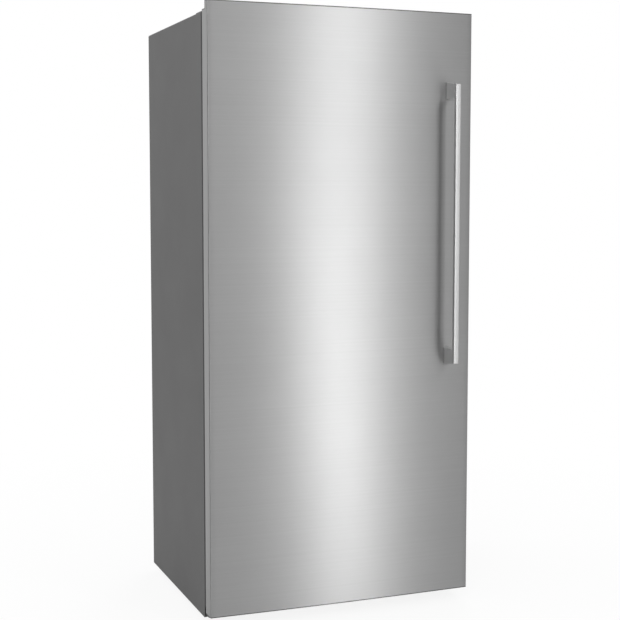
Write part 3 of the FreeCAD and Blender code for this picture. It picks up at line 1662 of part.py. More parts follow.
def ice_tray():
    """Twist tray with two rows of drafted cells, its pivots and the knob at the front."""
    at = tray_axis()
    front = ice_front_y()
    y0 = front + ice_wall + 1.0
    y1 = front + ice_depth - ice_wall - 1.0
    top = at.z + 6.0
    low = top - tray_depth
    w = tray_width / 2
    section = [(at.x - w, top), (at.x - w + 5.0, low), (at.x + w - 5.0, low), (at.x + w, top)]
    body = front_prism(section, y0, y1, [0.0, 4.0, 4.0, 0.0])
    along = V(0, 1, 0)
    pins = [
        rod(tray_pivot_radius, ice_wall + 2.0, V(at.x, y1 - 1.0, at.z), along),
        rod(tray_pivot_radius, ice_wall + 6.0, V(at.x, front - 4.0, at.z), along),
    ]
    ends = [rod(9.0, 3.0, V(at.x, y, at.z), along) for y in (y0, y1 - 3.0)]
    knob = rod(ice_knob_radius, 8.0, V(at.x, front - gap - 8.0, at.z), along)
    grip = block(at.x - 2.5, at.x + 2.5, front - 16.0, front - 4.0, at.z - 15.0, at.z + 15.0)
    return joined([body.cut(tray_cell_cuts(at, top, low, y0, y1)), knob, grip] + pins + ends)


def ice_bin():
    """Open storage bin for the ice, sliding under its tray."""
    x0 = ice_left_x() + ice_wall + 1.0
    x1 = ice_left_x() + ice_width - ice_wall - 1.0
    y0 = ice_front_y()
    y1 = y0 + ice_depth - ice_wall - 2.0
    low = top_glass_z + gap + ice_floor + gap
    high = low + ice_bin_height
    w = drawer_wall
    outer = plan_prism(corners_of(x0, x1, y0, y1), low, high, 8.0)
    inner = plan_prism(corners_of(x0 + w, x1 - w, y0 + w, y1 - w), low + w, high + 1.0, 8.0 - w)
    mid = (x0 + x1) / 2
    lip = block(mid - 30.0, mid + 30.0, y0 - 8.0, y0 + 1.0, high - 14.0, high - 10.0)
    return joined([outer.cut(inner), lip])


def build():
    """Every node's name with its shape."""
    nodes = {
        "cabinet_wrapper": cabinet_wrapper(),
        "back_panel": back_panel(),
        "cabinet_foam": cabinet_foam(),
        "cabinet_liner": cabinet_liner(),
        "base_frame": base_frame(),
        "machine_deck": machine_deck(),
        "compressor_plate": compressor_plate(),
        "roller_axles": roller_axles(),
        "plinth_grille": plinth_grille(),
        "machine_cover": machine_cover(),
        "cord_gland": cord_gland(),
        "rear_spacers": rear_spacers(),
        "compressor": compressor(),
        "compressor_grommets": compressor_grommets(),
        "start_relay": start_relay(),
        "condenser": condenser(),
        "condenser_fan_frame": condenser_fan_frame(),
        "condenser_fan": condenser_fan(),
        "refrigerant_pipes": refrigerant_pipes(),
        "drip_tray": drip_tray(),
        "drain_tube": drain_tube(),
        "evaporator_coil": evaporator_coil(),
        "defrost_heater": defrost_heater(),
        "evaporator_cover": evaporator_cover(),
        "evaporator_fan_frame": evaporator_fan_frame(),
        "evaporator_fan": evaporator_fan(),
        "control_housing": control_housing(),
        "temperature_knob": temperature_knob(),
        "fast_freeze_button": fast_freeze_button(),
        "lamp": lamp(),
        "shelf_trims": shelf_trims(),
        "ice_frame": ice_frame(),
        "ice_tray": ice_tray(),
        "ice_bin": ice_bin(),
        "top_hinge_plate": top_hinge_plate(),
        "bottom_hinge_bracket": bottom_hinge_bracket(),
        "hinge_screws": hinge_screws(),
        "door_skin": door_skin(),
        "door_top_cap": door_top_cap(),
        "door_bottom_cap": door_bottom_cap(),
        "door_foam": door_foam(),
        "door_liner": door_liner(),
        "door_gasket": door_gasket(),
        "handle_bar": handle_bar(),
        "handle_posts": handle_posts(),
        "foot_left": foot(-foot_x),
        "foot_right": foot(foot_x),
        "roller_left": roller(-roller_x),
        "roller_right": roller(roller_x),
    }
    for i, z in enumerate(shelf_levels()):
        nodes[f"shelf_glass_{i + 1}"] = shelf_glass(z)
    for i, z in enumerate(bin_floors()):
        nodes[f"door_bin_{i + 1}"] = door_bin(z)
    for i, place in enumerate(zip(drawer_floors(), drawer_heights, drawer_backs())):
        nodes[f"drawer_{i + 1}"] = drawer(*place)
    return nodes


os.makedirs("parts", exist_ok=True)
for name, shape in build().items():
    shape.exportStep(f"parts/{name}.step")
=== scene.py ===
import math

import bmesh
import bpy
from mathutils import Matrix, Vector


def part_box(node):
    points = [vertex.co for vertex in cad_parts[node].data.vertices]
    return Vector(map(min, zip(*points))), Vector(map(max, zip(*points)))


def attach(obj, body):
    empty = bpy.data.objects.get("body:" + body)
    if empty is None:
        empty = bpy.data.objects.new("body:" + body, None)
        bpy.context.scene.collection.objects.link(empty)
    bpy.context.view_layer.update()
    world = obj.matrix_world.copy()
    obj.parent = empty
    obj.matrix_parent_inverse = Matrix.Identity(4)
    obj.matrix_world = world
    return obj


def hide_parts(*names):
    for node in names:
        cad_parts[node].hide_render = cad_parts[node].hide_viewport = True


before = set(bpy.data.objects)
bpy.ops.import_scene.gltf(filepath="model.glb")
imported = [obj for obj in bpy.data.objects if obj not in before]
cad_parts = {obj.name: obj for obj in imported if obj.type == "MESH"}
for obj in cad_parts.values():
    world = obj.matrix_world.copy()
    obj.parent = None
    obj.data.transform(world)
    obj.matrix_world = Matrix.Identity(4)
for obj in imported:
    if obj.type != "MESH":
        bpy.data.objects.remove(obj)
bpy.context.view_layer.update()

# Places nearer than this are the same place, in metres
TOUCH = 1e-4
# Points nearer than these are merged, in a modelled piece and in a node's copy
MERGE = 1e-5
COPY_MERGE = 2e-5

# The door's steel sheet, in metres
DOOR_BOW = 0.005
BOW_STEPS = 48
SHEET = 0.0008
CORNER_ROUND = 0.004
CORNER_STEPS = 6
SKIN_RETURN = 0.014
LIP_DEPTH = 0.019
REAR_DROP = 0.021

# The door's seal
SEAL_WIDTH = 0.022
SEAL_CORNER = 0.030
SEAL_CORNER_STEPS = 8
SEAL_ROWS = 6
# Rows of the bellows, counted from the door's front, and how much narrower each is
PLEATS = {1: 0.55, 3: 0.55, 2: 0.9}

# The compressor's mounts, with the rise and growth of each step up their ribs
MOUNT_RADIUS = 0.010
MOUNT_BASE = 0.002
MOUNT_ROUND = 0.0004
MOUNT_SIDES = 32
MOUNT_RIBS = [
    (0.0008, 0.8),
    (0.0018, 1.0),
    (0.0008, 1.25),
    (0.0018, 1.0),
    (0.0008, 0.8),
    (0.0018, 1.0),
    (0.0008, 1.2),
    (0.0012, 1.0),
]
BOLT_RADIUS = 0.0062
BOLT_HEAD = 0.0024
WASHER_RADIUS = 0.008
WASHER = 0.0006
SHANK_RADIUS = 0.004
SHANK_SIDES = 24


# ---------------------------------------------------------------- handling of meshes


def only(piece):
    bpy.ops.object.select_all(action="DESELECT")
    piece.select_set(True)
    bpy.context.view_layer.objects.active = piece


def named(name):
    """The object that an operator has just added, under its own name."""
    piece = bpy.context.active_object
    piece.name = name
    piece.data.name = name
    return piece


def place_in_mesh(piece):
    only(piece)
    bpy.ops.object.transform_apply(location=True, rotation=True, scale=True)


def open_mesh(piece, kind="FACE"):
    only(piece)
    bpy.ops.object.mode_set(mode="EDIT")
    bpy.ops.mesh.select_mode(type=kind)
    bpy.ops.mesh.select_all(action="DESELECT")


def close_mesh():
    bpy.ops.object.mode_set(mode="OBJECT")


def pick_points(piece, test):
    bpy.ops.mesh.select_mode(type="VERT")
    mesh = bmesh.from_edit_mesh(piece.data)
    for point in mesh.verts:
        point.select_set(test(point.co))
    mesh.select_flush_mode()
    bmesh.update_edit_mesh(piece.data)


def pick_edges(piece, test):
    bpy.ops.mesh.select_mode(type="EDGE")
    mesh = bmesh.from_edit_mesh(piece.data)
    for edge in mesh.edges:
        a, b = edge.verts
        edge.select_set(test(a.co, b.co))
    mesh.select_flush_mode()
    bmesh.update_edit_mesh(piece.data)


def pick_faces(piece, test):
    bpy.ops.mesh.select_mode(type="FACE")
    mesh = bmesh.from_edit_mesh(piece.data)
    for face in mesh.faces:
        face.select_set(test(face.calc_center_median(), face.normal))
    mesh.select_flush_mode()
    bmesh.update_edit_mesh(piece.data)


def extrude_edges(shift):
    bpy.ops.mesh.extrude_edges_move(TRANSFORM_OT_translate={"value": shift})


def extrude_faces(shift):
    bpy.ops.mesh.extrude_region_move(TRANSFORM_OT_translate={"value": shift})


def spin_about(center, axis, angle, steps):
    bpy.ops.mesh.spin(steps=steps, angle=-angle, center=center, axis=axis)


def modify(piece, kind, **settings):
    only(piece)
    modifier = piece.modifiers.new(kind.title(), kind)
    for name, value in settings.items():
        setattr(modifier, name, value)
    bpy.ops.object.modifier_apply(modifier=modifier.name)


def soften(piece, width, segments, angle):
    """Small rounding along the sharp edges."""
    modify(
        piece,
        "BEVEL",
        width=width,
        segments=segments,
        limit_method="ANGLE",
        angle_limit=math.radians(angle),
        use_clamp_overlap=True,
        miter_outer="MITER_ARC",
    )


def smooth(piece, angle):
    only(piece)
    bpy.ops.object.shade_smooth_by_angle(angle=math.radians(angle))


def outward(piece):
    open_mesh(piece)
    bpy.ops.mesh.select_all(action="SELECT")
    bpy.ops.mesh.remove_doubles(threshold=MERGE)
    bpy.ops.mesh.normals_make_consistent(inside=False)
    close_mesh()


def dress(piece, material):
    piece.data.materials.clear()
    piece.data.materials.append(material)


def own_copy(piece, name, shift):
    """A repeat of a piece with its own mesh."""
    twin = bpy.data.objects.new(name, piece.data.copy())
    bpy.context.scene.collection.objects.link(twin)
    twin.location = shift
    place_in_mesh(twin)
    return twin


# ---------------------------------------------------------------- node groups of the finishes


def new_group(name, inputs, outputs):
    tree = bpy.data.node_groups.new(name, "ShaderNodeTree")
    for label, kind, value in inputs:
        socket = tree.interface.new_socket(name=label, in_out="INPUT", socket_type="NodeSocket" + kind)
        socket.default_value = value
    for label, kind in outputs:
        tree.interface.new_socket(name=label, in_out="OUTPUT", socket_type="NodeSocket" + kind)
    return tree, tree.nodes.new("NodeGroupInput"), tree.nodes.new("NodeGroupOutput")


def add(tree, kind, **settings):
    node = tree.nodes.new("ShaderNode" + kind)
    for name, value in settings.items():
        setattr(node, name, value)
    return node


def plug(tree, socket, value):
    """Links a socket, or gives it a plain value."""
    if isinstance(value, bpy.types.NodeSocket):
        tree.links.new(value, socket)
    else:
        socket.default_value = value


def feed(tree, node, **values):
    """Fills a node's inputs, by label with underscores for blanks."""
    for name, value in values.items():
        plug(tree, node.inputs[name.replace("_", " ")], value)
    return node


def combine(tree, operation, first, second):
    """What an operation makes of two values."""
    node = add(tree, "Math", operation=operation)
    plug(tree, node.inputs[0], first)
    plug(tree, node.inputs[1], second)
    return node.outputs[0]


def combine_vectors(tree, operation, first, second=None, result="Vector"):
    """What an operation makes of one vector or two."""
    node = add(tree, "VectorMath", operation=operation)
    plug(tree, node.inputs[0], first)
    if second is not None:
        plug(tree, node.inputs[1], second)
    return node.outputs[result]


def between(tree, value, low, high, to_low, to_high):
    node = add(tree, "MapRange")
    feed(tree, node, Value=value, From_Min=low, From_Max=high, To_Min=to_low, To_Max=to_high)
    return node.outputs["Result"]


def tint(tree, factor, pale, deep, blend="MIX"):
    node = add(tree, "Mix", data_type="RGBA", blend_type=blend)
    plug(tree, node.inputs[0], factor)
    plug(tree, node.inputs[6], pale)
    plug(tree, node.inputs[7], deep)
    return node.outputs[2]


def noise(tree, vector, scale, detail, rough):
    node = add(tree, "TexNoise")
    feed(tree, node, Vector=vector, Scale=scale, Detail=detail, Roughness=rough)
    return node.outputs["Fac"]


def object_place(tree):
    return add(tree, "TexCoord").outputs["Object"]


def face_normal(tree):
    return add(tree, "NewGeometry").outputs["Normal"]


def mottle_group():
    """Slow change of tone over a surface."""
    tree, given, out = new_group(
        "mottle",
        [
            ("Pale", "Color", (0.8, 0.8, 0.8, 1)),
            ("Deep", "Color", (0.7, 0.7, 0.7, 1)),
            ("Scale", "Float", 9.0),
        ],
        [("Color", "Color")],
    )
    clouds = noise(tree, object_place(tree), given.outputs["Scale"], 5.0, 0.6)
    amount = between(tree, clouds, 0.3, 0.7, 0.0, 1.0)
    feed(tree, out, Color=tint(tree, amount, given.outputs["Pale"], given.outputs["Deep"]))
    return tree


def skin_group():
    """Fine texture of a moulded or painted skin, with its gloss and height."""
    tree, given, out = new_group(
        "skin",
        [("Scale", "Float", 900.0), ("Glossy", "Float", 0.35), ("Matt", "Float", 0.55)],
        [("Roughness", "Float"), ("Height", "Float")],
    )
    place = object_place(tree)
    fine = noise(tree, place, given.outputs["Scale"], 3.0, 0.6)
    broad = noise(tree, place, 7.0, 3.0, 0.5)
    fine_share = between(tree, fine, 0.3, 0.7, 0.0, 0.4)
    broad_share = between(tree, broad, 0.3, 0.7, 0.0, 0.6)
    worn = combine(tree, "ADD", broad_share, fine_share)
    gloss = between(tree, worn, 0.0, 1.0, given.outputs["Glossy"], given.outputs["Matt"])
    feed(tree, out, Roughness=gloss, Height=fine)
    return tree


def brushed_group():
    """Fine lines left by a belt, long one way and close together across it."""
    tree, given, out = new_group(
        "brushed",
        [("Stretch", "Vector", (6.0, 6.0, 1400.0)), ("Glossy", "Float", 0.2), ("Matt", "Float", 0.32)],
        [("Amount", "Float"), ("Roughness", "Float"), ("Height", "Float")],
    )
    stretched = combine_vectors(tree, "MULTIPLY", object_place(tree), given.outputs["Stretch"])
    coarse = combine_vectors(tree, "MULTIPLY", stretched, (0.13, 0.13, 0.13))
    lines = noise(tree, stretched, 1.0, 3.0, 0.65)
    bands = noise(tree, coarse, 1.0, 2.0, 0.5)
    line_share = between(tree, lines, 0.25, 0.75, 0.5, 1.0)
    band_share = between(tree, bands, 0.25, 0.75, 0.6, 1.0)
    both = combine(tree, "MULTIPLY", line_share, band_share)
    gloss = between(tree, both, 0.3, 1.0, given.outputs["Glossy"], given.outputs["Matt"])
    feed(tree, out, Amount=both, Roughness=gloss, Height=lines)
    return tree


def edge_group():
    """Mask of the edges, where handling rubs a finish thin."""
    tree, given, out = new_group(
        "edge rub",
        [("Radius", "Float", 0.002), ("Strength", "Float", 0.5)],
        [("Mask", "Float")],
    )
    rounded = feed(tree, add(tree, "Bevel", samples=4), Radius=given.outputs["Radius"])
    likeness = combine_vectors(
        tree, "DOT_PRODUCT", rounded.outputs["Normal"], face_normal(tree), "Value"
    )
    edge = between(tree, likeness, 1.0, 0.85, 0.0, 1.0)
    breaks = noise(tree, object_place(tree), 90.0, 4.0, 0.65)
    broken = between(tree, breaks, 0.4, 0.62, 0.0, 1.0)
    kept = combine(tree, "MULTIPLY", edge, broken)
    feed(tree, out, Mask=combine(tree, "MULTIPLY", kept, given.outputs["Strength"]))
    return tree


def dust_group():
    """Dust that has settled on faces turned upwards."""
    tree, given, out = new_group("settled dust", [("Strength", "Float", 0.2)], [("Mask", "Float")])
    normal = feed(tree, add(tree, "SeparateXYZ"), Vector=face_normal(tree))
    level = between(tree, normal.outputs["Z"], 0.55, 0.95, 0.0, 1.0)
    clouds = noise(tree, object_place(tree), 26.0, 6.0, 0.62)
    patches = between(tree, clouds, 0.35, 0.7, 0.25, 1.0)
    laid = combine(tree, "MULTIPLY", level, patches)
    feed(tree, out, Mask=combine(tree, "MULTIPLY", laid, given.outputs["Strength"]))
    return tree


def spangle_group():
    """Crystals of hot-dipped zinc."""
    tree, given, out = new_group(
        "spangle", [("Scale", "Float", 130.0)], [("Amount", "Float"), ("Height", "Float")]
    )
    cells = add(tree, "TexVoronoi")
    feed(tree, cells, Vector=object_place(tree), Scale=given.outputs["Scale"], Randomness=1.0)
    parts = feed(tree, add(tree, "SeparateColor"), Color=cells.outputs["Color"])
    feed(tree, out, Amount=parts.outputs[0], Height=cells.outputs["Distance"])
    return tree


GROUPS = {
    "mottle": mottle_group(),
    "skin": skin_group(),
    "brushed": brushed_group(),
    "edge rub": edge_group(),
    "settled dust": dust_group(),
    "spangle": spangle_group(),
}


# ---------------------------------------------------------------- materials

DUST = (0.42, 0.40, 0.37, 1.0)


def grey(value):
    return (value, value, value, 1.0)


def changed(color, factor, lift=0.0, most=1.0):
    """A colour made deeper or paler."""
    return tuple(min(c * factor + lift, most) for c in color[:3]) + (1.0,)


def start_finish(name):
    material = bpy.data.materials.new(name)
    material.use_nodes = True
    tree = material.node_tree
    return material, tree, tree.nodes["Principled BSDF"]


def use_group(tree, name, **values):
    node = add(tree, "Group")
    node.node_tree = GROUPS[name]
    return feed(tree, node, **values)


def raise_surface(tree, shader, height, strength, distance):
    bump = feed(tree, add(tree, "Bump"), Height=height, Strength=strength, Distance=distance)
    feed(tree, shader, Normal=bump.outputs["Normal"])


def give_skin(tree, shader, scale, glossy, matt, strength, distance):
    """Gloss and fine relief of a skin."""
    skin = use_group(tree, "skin", Scale=scale, Glossy=glossy, Matt=matt)
    feed(tree, shader, Roughness=skin.outputs["Roughness"])
    raise_surface(tree, shader, skin.outputs["Height"], strength, distance)


def coloured(tree, shader, pale, deep, scale, rub=None, rub_color=None, dust=0.0):
    """Base colour with its slow variation, rubbed edges and dust."""
    color = use_group(tree, "mottle", Pale=pale, Deep=deep, Scale=scale).outputs["Color"]
    if rub:
        mask = use_group(tree, "edge rub", Radius=rub[0], Strength=rub[1]).outputs["Mask"]
        color = tint(tree, mask, color, rub_color)
    if dust:
        mask = use_group(tree, "settled dust", Strength=dust).outputs["Mask"]
        color = tint(tree, mask, color, DUST)
    feed(tree, shader, Base_Color=color)


def paint(name, pale, deep, glossy, matt, peel=0.15, scale=700.0, specular=0.3, rub=0.35, dust=0.0):
    """Baked paint on sheet steel, with its orange peel and rubbed edges."""
    material, tree, shader = start_finish(name)
    coloured(tree, shader, pale, deep, 6.0, (0.0015, rub), changed(pale, 1.8, 0.05, 0.9), dust)
    give_skin(tree, shader, scale, glossy, matt, peel, 0.0004)
    shader.inputs["Specular IOR Level"].default_value = specular
    return material


def plastic(name, pale, deep, glossy, matt, texture=0.12, scale=1500.0, dust=0.0, rub=0.25):
    """Moulded plastic, with the fine texture of its mould and paler rubbed edges."""
    material, tree, shader = start_finish(name)
    coloured(tree, shader, pale, deep, 11.0, (0.001, rub), changed(pale, 1.35, 0.04, 0.95), dust)
    give_skin(tree, shader, scale, glossy, matt, texture, 0.0003)
    return material


def clear(name, tone, glossy, matt, ior=1.49):
    """Clear plastic or glass: faint tint, and fine scuffs in its gloss."""
    material, tree, shader = start_finish(name)
    coloured(tree, shader, tone, changed(tone, 0.97), 5.0)
    give_skin(tree, shader, 260.0, glossy, matt, 0.03, 0.0002)
    shader.inputs["Transmission Weight"].default_value = 1.0
    shader.inputs["IOR"].default_value = ior
    return material


def brushed_steel(name, pale, deep, stretch, glossy, matt, smear=(0.0, 0.0), lines=0.1, rub=0.06):
    """Brushed stainless steel, with belt lines in colour, gloss and height, and a smeared shine."""
    material, tree, shader = start_finish(name)
    belt = use_group(tree, "brushed", Stretch=stretch, Glossy=glossy, Matt=matt)
    color = tint(tree, belt.outputs["Amount"], deep, pale)
    slow = use_group(tree, "mottle", Pale=grey(1.0), Deep=grey(0.95), Scale=2.5)
    shaded = tint(tree, 1.0, color, slow.outputs["Color"], "MULTIPLY")
    mask = use_group(tree, "edge rub", Radius=0.0015, Strength=rub).outputs["Mask"]
    feed(tree, shader, Base_Color=tint(tree, mask, shaded, grey(0.62)))
    feed(tree, shader, Roughness=belt.outputs["Roughness"])
    raise_surface(tree, shader, belt.outputs["Height"], lines, 0.0002)
    shader.inputs["Metallic"].default_value = 1.0
    shader.inputs["Anisotropic"].default_value = smear[0]
    shader.inputs["Anisotropic Rotation"].default_value = smear[1]
    return material


def bare_metal(name, pale, deep, glossy, matt):
    """Plain drawn or cast metal, dulled in patches."""
    material, tree, shader = start_finish(name)
    coloured(tree, shader, pale, deep, 40.0, (0.0008, 0.4), changed(pale, 1.3))
    give_skin(tree, shader, 320.0, glossy, matt, 0.08, 0.0003)
    shader.inputs["Metallic"].default_value = 1.0
    return material


def galvanised(name):
    """Zinc-coated sheet with its crystals showing."""
    material, tree, shader = start_finish(name)
    crystals = use_group(tree, "spangle", Scale=120.0)
    color = tint(tree, crystals.outputs["Amount"], (0.50, 0.51, 0.53, 1), (0.40, 0.41, 0.43, 1))
    mask = use_group(tree, "settled dust", Strength=0.35).outputs["Mask"]
    gloss = between(tree, crystals.outputs["Amount"], 0.0, 1.0, 0.34, 0.52)
    feed(tree, shader, Base_Color=tint(tree, mask, color, DUST), Roughness=gloss)
    raise_surface(tree, shader, crystals.outputs["Height"], 0.05, 0.0003)
    shader.inputs["Metallic"].default_value = 0.85
    return material


def foam(name):
    """Rigid cellular insulation."""
    material, tree, shader = start_finish(name)
    coloured(tree, shader, (0.72, 0.62, 0.42, 1), (0.60, 0.50, 0.32, 1), 14.0)
    cells = use_group(tree, "spangle", Scale=600.0)
    gloss = between(tree, cells.outputs["Amount"], 0.0, 1.0, 0.7, 0.9)
    feed(tree, shader, Roughness=gloss)
    raise_surface(tree, shader, cells.outputs["Height"], 0.5, 0.001)
    return material


def rubber(name, pale, deep):
    """Soft rubber with a dull bloom."""
    material, tree, shader = start_finish(name)
    coloured(tree, shader, pale, deep, 22.0, (0.0008, 0.3), changed(pale, 1.5), 0.15)
    give_skin(tree, shader, 1100.0, 0.55, 0.78, 0.12, 0.0003)
    return material


FINISHES = {
    "case_paint": paint("case_paint", grey(0.106), grey(0.099), 0.54, 0.60, 0.2, 900.0, 0.12, 0.2),
    "louvre_paint": paint("louvre_paint", grey(0.05), grey(0.04), 0.45, 0.6, 0.2, 700.0, 0.3, 0.4, 0.3),
    "black_paint": paint(
        "black_paint", grey(0.018), grey(0.012), 0.32, 0.5, 0.12, 420.0, 0.5, 0.35, 0.25
    ),
    "zinc_sheet": galvanised("zinc_sheet"),
    "insulation": foam("insulation"),
    "lining_white": plastic("lining_white", grey(0.80), grey(0.785), 0.27, 0.33, 0.05, 500.0),
    "air_cover_white": plastic(
        "air_cover_white", (0.76, 0.78, 0.80, 1), (0.73, 0.75, 0.77, 1), 0.32, 0.46, 0.1
    ),
    "white_trim": plastic("white_trim", (0.74, 0.75, 0.76, 1), (0.70, 0.71, 0.72, 1), 0.28, 0.42, 0.08),
    "dark_plastic": plastic("dark_plastic", grey(0.035), grey(0.028), 0.42, 0.6, 0.2, 1300.0, 0.12),
    "door_steel": brushed_steel(
        "door_steel", grey(0.305), grey(0.262), (5.0, 5.0, 1500.0), 0.39, 0.45, (0.95, 0.25), 0.04
    ),
    "bar_steel": brushed_steel(
        "bar_steel", grey(0.44), grey(0.37), (1500.0, 1500.0, 1.5), 0.24, 0.32, (0.6, 0.25), 0.05
    ),
    "post_steel": brushed_steel("post_steel", grey(0.60), grey(0.54), (1400.0, 6.0, 6.0), 0.42, 0.52),
    "clear_plastic": clear("clear_plastic", (0.93, 0.95, 0.96, 1), 0.03, 0.10),
    "shelf_glass": clear("shelf_glass", (0.90, 0.96, 0.94, 1), 0.0, 0.04, 1.52),
    "lamp_clear": plastic("lamp_clear", (0.86, 0.87, 0.86, 1), (0.82, 0.83, 0.82, 1), 0.25, 0.38),
    "coil_aluminium": bare_metal(
        "coil_aluminium", (0.74, 0.75, 0.77, 1), (0.64, 0.65, 0.67, 1), 0.3, 0.5
    ),
    "copper": bare_metal("copper", (0.72, 0.36, 0.20, 1), (0.48, 0.22, 0.12, 1), 0.25, 0.5),
    "heater_steel": bare_metal(
        "heater_steel", (0.48, 0.46, 0.44, 1), (0.36, 0.34, 0.32, 1), 0.35, 0.55
    ),
    "zinc_screw": bare_metal("zinc_screw", (0.62, 0.63, 0.66, 1), (0.52, 0.53, 0.55, 1), 0.28, 0.45),
    "rubber_black": rubber("rubber_black", grey(0.022), grey(0.016)),
    "seal_grey": rubber("seal_grey", (0.075, 0.077, 0.080, 1), (0.062, 0.064, 0.067, 1)),
    "control_grey": plastic("control_grey", (0.56, 0.57, 0.59, 1), (0.52, 0.53, 0.55, 1), 0.3, 0.45),
    "knob_grey": plastic("knob_grey", (0.30, 0.31, 0.33, 1), (0.26, 0.27, 0.29, 1), 0.25, 0.4),
    "tray_blue": plastic("tray_blue", (0.34, 0.52, 0.66, 1), (0.30, 0.47, 0.61, 1), 0.25, 0.4),
    "wheel_grey": plastic(
        "wheel_grey", (0.20, 0.20, 0.21, 1), (0.16, 0.16, 0.17, 1), 0.4, 0.6, 0.2, 900.0, 0.2
    ),
}


def slot_of(node):
    """The record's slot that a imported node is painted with."""
    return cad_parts[node].data.materials[0].name.split(".")[0]


def dress_frame():
    """Every carried-over node gets its procedural finish."""
    for name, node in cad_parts.items():
        finish = FINISHES[slot_of(name)]
        node.material_slots[0].link = "OBJECT"
        node.material_slots[0].material = finish


# ---------------------------------------------------------------- fair copies of the rigid nodes

# Rounding of each node's edges, in metres, or none where the slots are too close together
FAIR = {
    "cabinet": {
        "cabinet_wrapper": 0.0006,
        "back_panel": 0.0006,
        "cabinet_liner": 0.0012,
        "base_frame": 0.0004,
        "plinth_grille": 0.0,
        "machine_cover": 0.0,
        "cord_gland": 0.0005,
        "rear_spacers": 0.0012,
        "compressor": 0.0012,
        "start_relay": 0.0015,
        "condenser_fan_frame": 0.0008,
        "refrigerant_pipes": 0.0004,
        "drip_tray": 0.0008,
        "evaporator_cover": 0.0006,
        "evaporator_fan_frame": 0.0008,
        "control_housing": 0.0015,
        "lamp": 0.0012,
        "shelf_glass_1": 0.0010,
        "shelf_glass_2": 0.0010,
        "shelf_glass_3": 0.0010,
        "shelf_trims": 0.0015,
        "ice_frame": 0.0,
        "top_hinge_plate": 0.0006,
        "bottom_hinge_bracket": 0.0006,
        "hinge_screws": 0.0004,
    },
    "door": {
        "door_top_cap": 0.0006,
        "door_bottom_cap": 0.0006,
        "door_liner": 0.0020,
        "door_bin_1": 0.0008,
        "door_bin_2": 0.0008,
        "door_bin_3": 0.0008,
        "door_bin_4": 0.0008,
        "handle_bar": 0.0008,
        "handle_posts": 0.0012,
    },
    "drawer_1": {"drawer_1": 0.0008},
    "drawer_2": {"drawer_2": 0.0008},
    "drawer_3": {"drawer_3": 0.0008},
    "condenser_fan": {"condenser_fan": 0.0005},
    "evaporator_fan": {"evaporator_fan": 0.0005},
    "temperature_knob": {"temperature_knob": 0.0006},
    "fast_freeze_button": {"fast_freeze_button": 0.0006},
    "ice_tray": {"ice_tray": 0.0008},
    "ice_bin": {"ice_bin": 0.0008},
    "foot_left": {"foot_left": 0.0005},
    "foot_right": {"foot_right": 0.0005},
    "roller_left": {"roller_left": 0.0006},
    "roller_right": {"roller_right": 0.0006},
}

# Edges that turn by more than this are rounded, in degrees. The rear sheet's low beads turn by less
USUAL_ANGLE = 38.0
EDGE_ANGLE = {"back_panel": 15.0}
ROUND_STEPS = 2
SMOOTH_ANGLE = 34.0

# Painted black where the record has bare zinc, since the front of it shows dark: the black is painted
# shade, standing in for the shadow that falls over the frame's front
PAINTED_SHADE_SLOT = {"base_frame": "black_paint"}

# Walls with holes keep their facets, since one face round a hole would fold
PIERCED = {
    "base_frame",
    "cabinet_liner",
    "control_housing",
    "door_liner",
    "door_top_cap",
    "evaporator_cover",
    "ice_frame",
    "ice_tray",
    "machine_cover",
    "plinth_grille",
    "shelf_trims",
}


def fair_copy(body, node, rounding):
    """The node's own form in a clean mesh, with rounded edges that catch the light."""
    # A node listed there takes a darker finish than the record's, as painted shade for the shadow over
    # it
    slot = PAINTED_SHADE_SLOT.get(node, slot_of(node))
    piece = bpy.data.objects.new("fair_" + node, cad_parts[node].data.copy())
    bpy.context.scene.collection.objects.link(piece)
    open_mesh(piece)
    bpy.ops.mesh.select_all(action="SELECT")
    bpy.ops.mesh.remove_doubles(threshold=COPY_MERGE)
    if node not in PIERCED:
        bpy.ops.mesh.dissolve_limited(angle_limit=math.radians(0.5))
    close_mesh()
    if rounding:
        soften(piece, rounding, ROUND_STEPS, EDGE_ANGLE.get(node, USUAL_ANGLE))
    modify(piece, "TRIANGULATE", quad_method="BEAUTY", ngon_method="BEAUTY", min_vertices=5)
    smooth(piece, SMOOTH_ANGLE)
    modify(piece, "WEIGHTED_NORMAL", weight=90, keep_sharp=True)
    dress(piece, FINISHES[slot])
    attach(piece, body)
    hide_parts(node)


def fair_copies():
    for body, nodes in FAIR.items():
        for node, rounding in nodes.items():
            fair_copy(body, node, rounding)


# ---------------------------------------------------------------- door skin


def door_skin():
    """Steel sheet bowed over the door's front and folded round its sides."""
    low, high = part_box("door_skin")
    side = high.x
    side_y = low.y + DOOR_BOW
    sheet = upright_edge("bowed_door_skin", -side, side_y, low.z, high.z)
    bow_across(sheet, low.y, side)
    fold_sides(sheet, side, side_y, high.y)
    close_mesh()
    outward(sheet)
    turn_out(sheet, lambda c, n: abs(c.x) < side / 2 and n.y > 0)
    modify(sheet, "SOLIDIFY", thickness=SHEET, offset=-1.0, use_even_offset=True)
    cut_lip(sheet, high)
    smooth(sheet, angle=30.0)
    dress(sheet, FINISHES["door_steel"])
    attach(sheet, "door")
    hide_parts("door_skin")


def upright_edge(name, x, y, low, high):
    """One upright edge, left in edit mode, from a plane that loses its far side."""
    half = 0.5
    beside = 0.1
    bpy.ops.mesh.primitive_plane_add(size=2 * half, location=(x + half, y, 0.0))
    piece = named(name)
    place_in_mesh(piece)
    open_mesh(piece, "VERT")
    pick_points(piece, lambda p: p.x > x + beside)
    bpy.ops.mesh.delete(type="VERT")
    pick_points(piece, lambda p: p.y < y - beside)
    bpy.ops.transform.translate(value=(0, half, low))
    pick_points(piece, lambda p: p.y > y + beside)
    bpy.ops.transform.translate(value=(0, -half, high))
    return piece


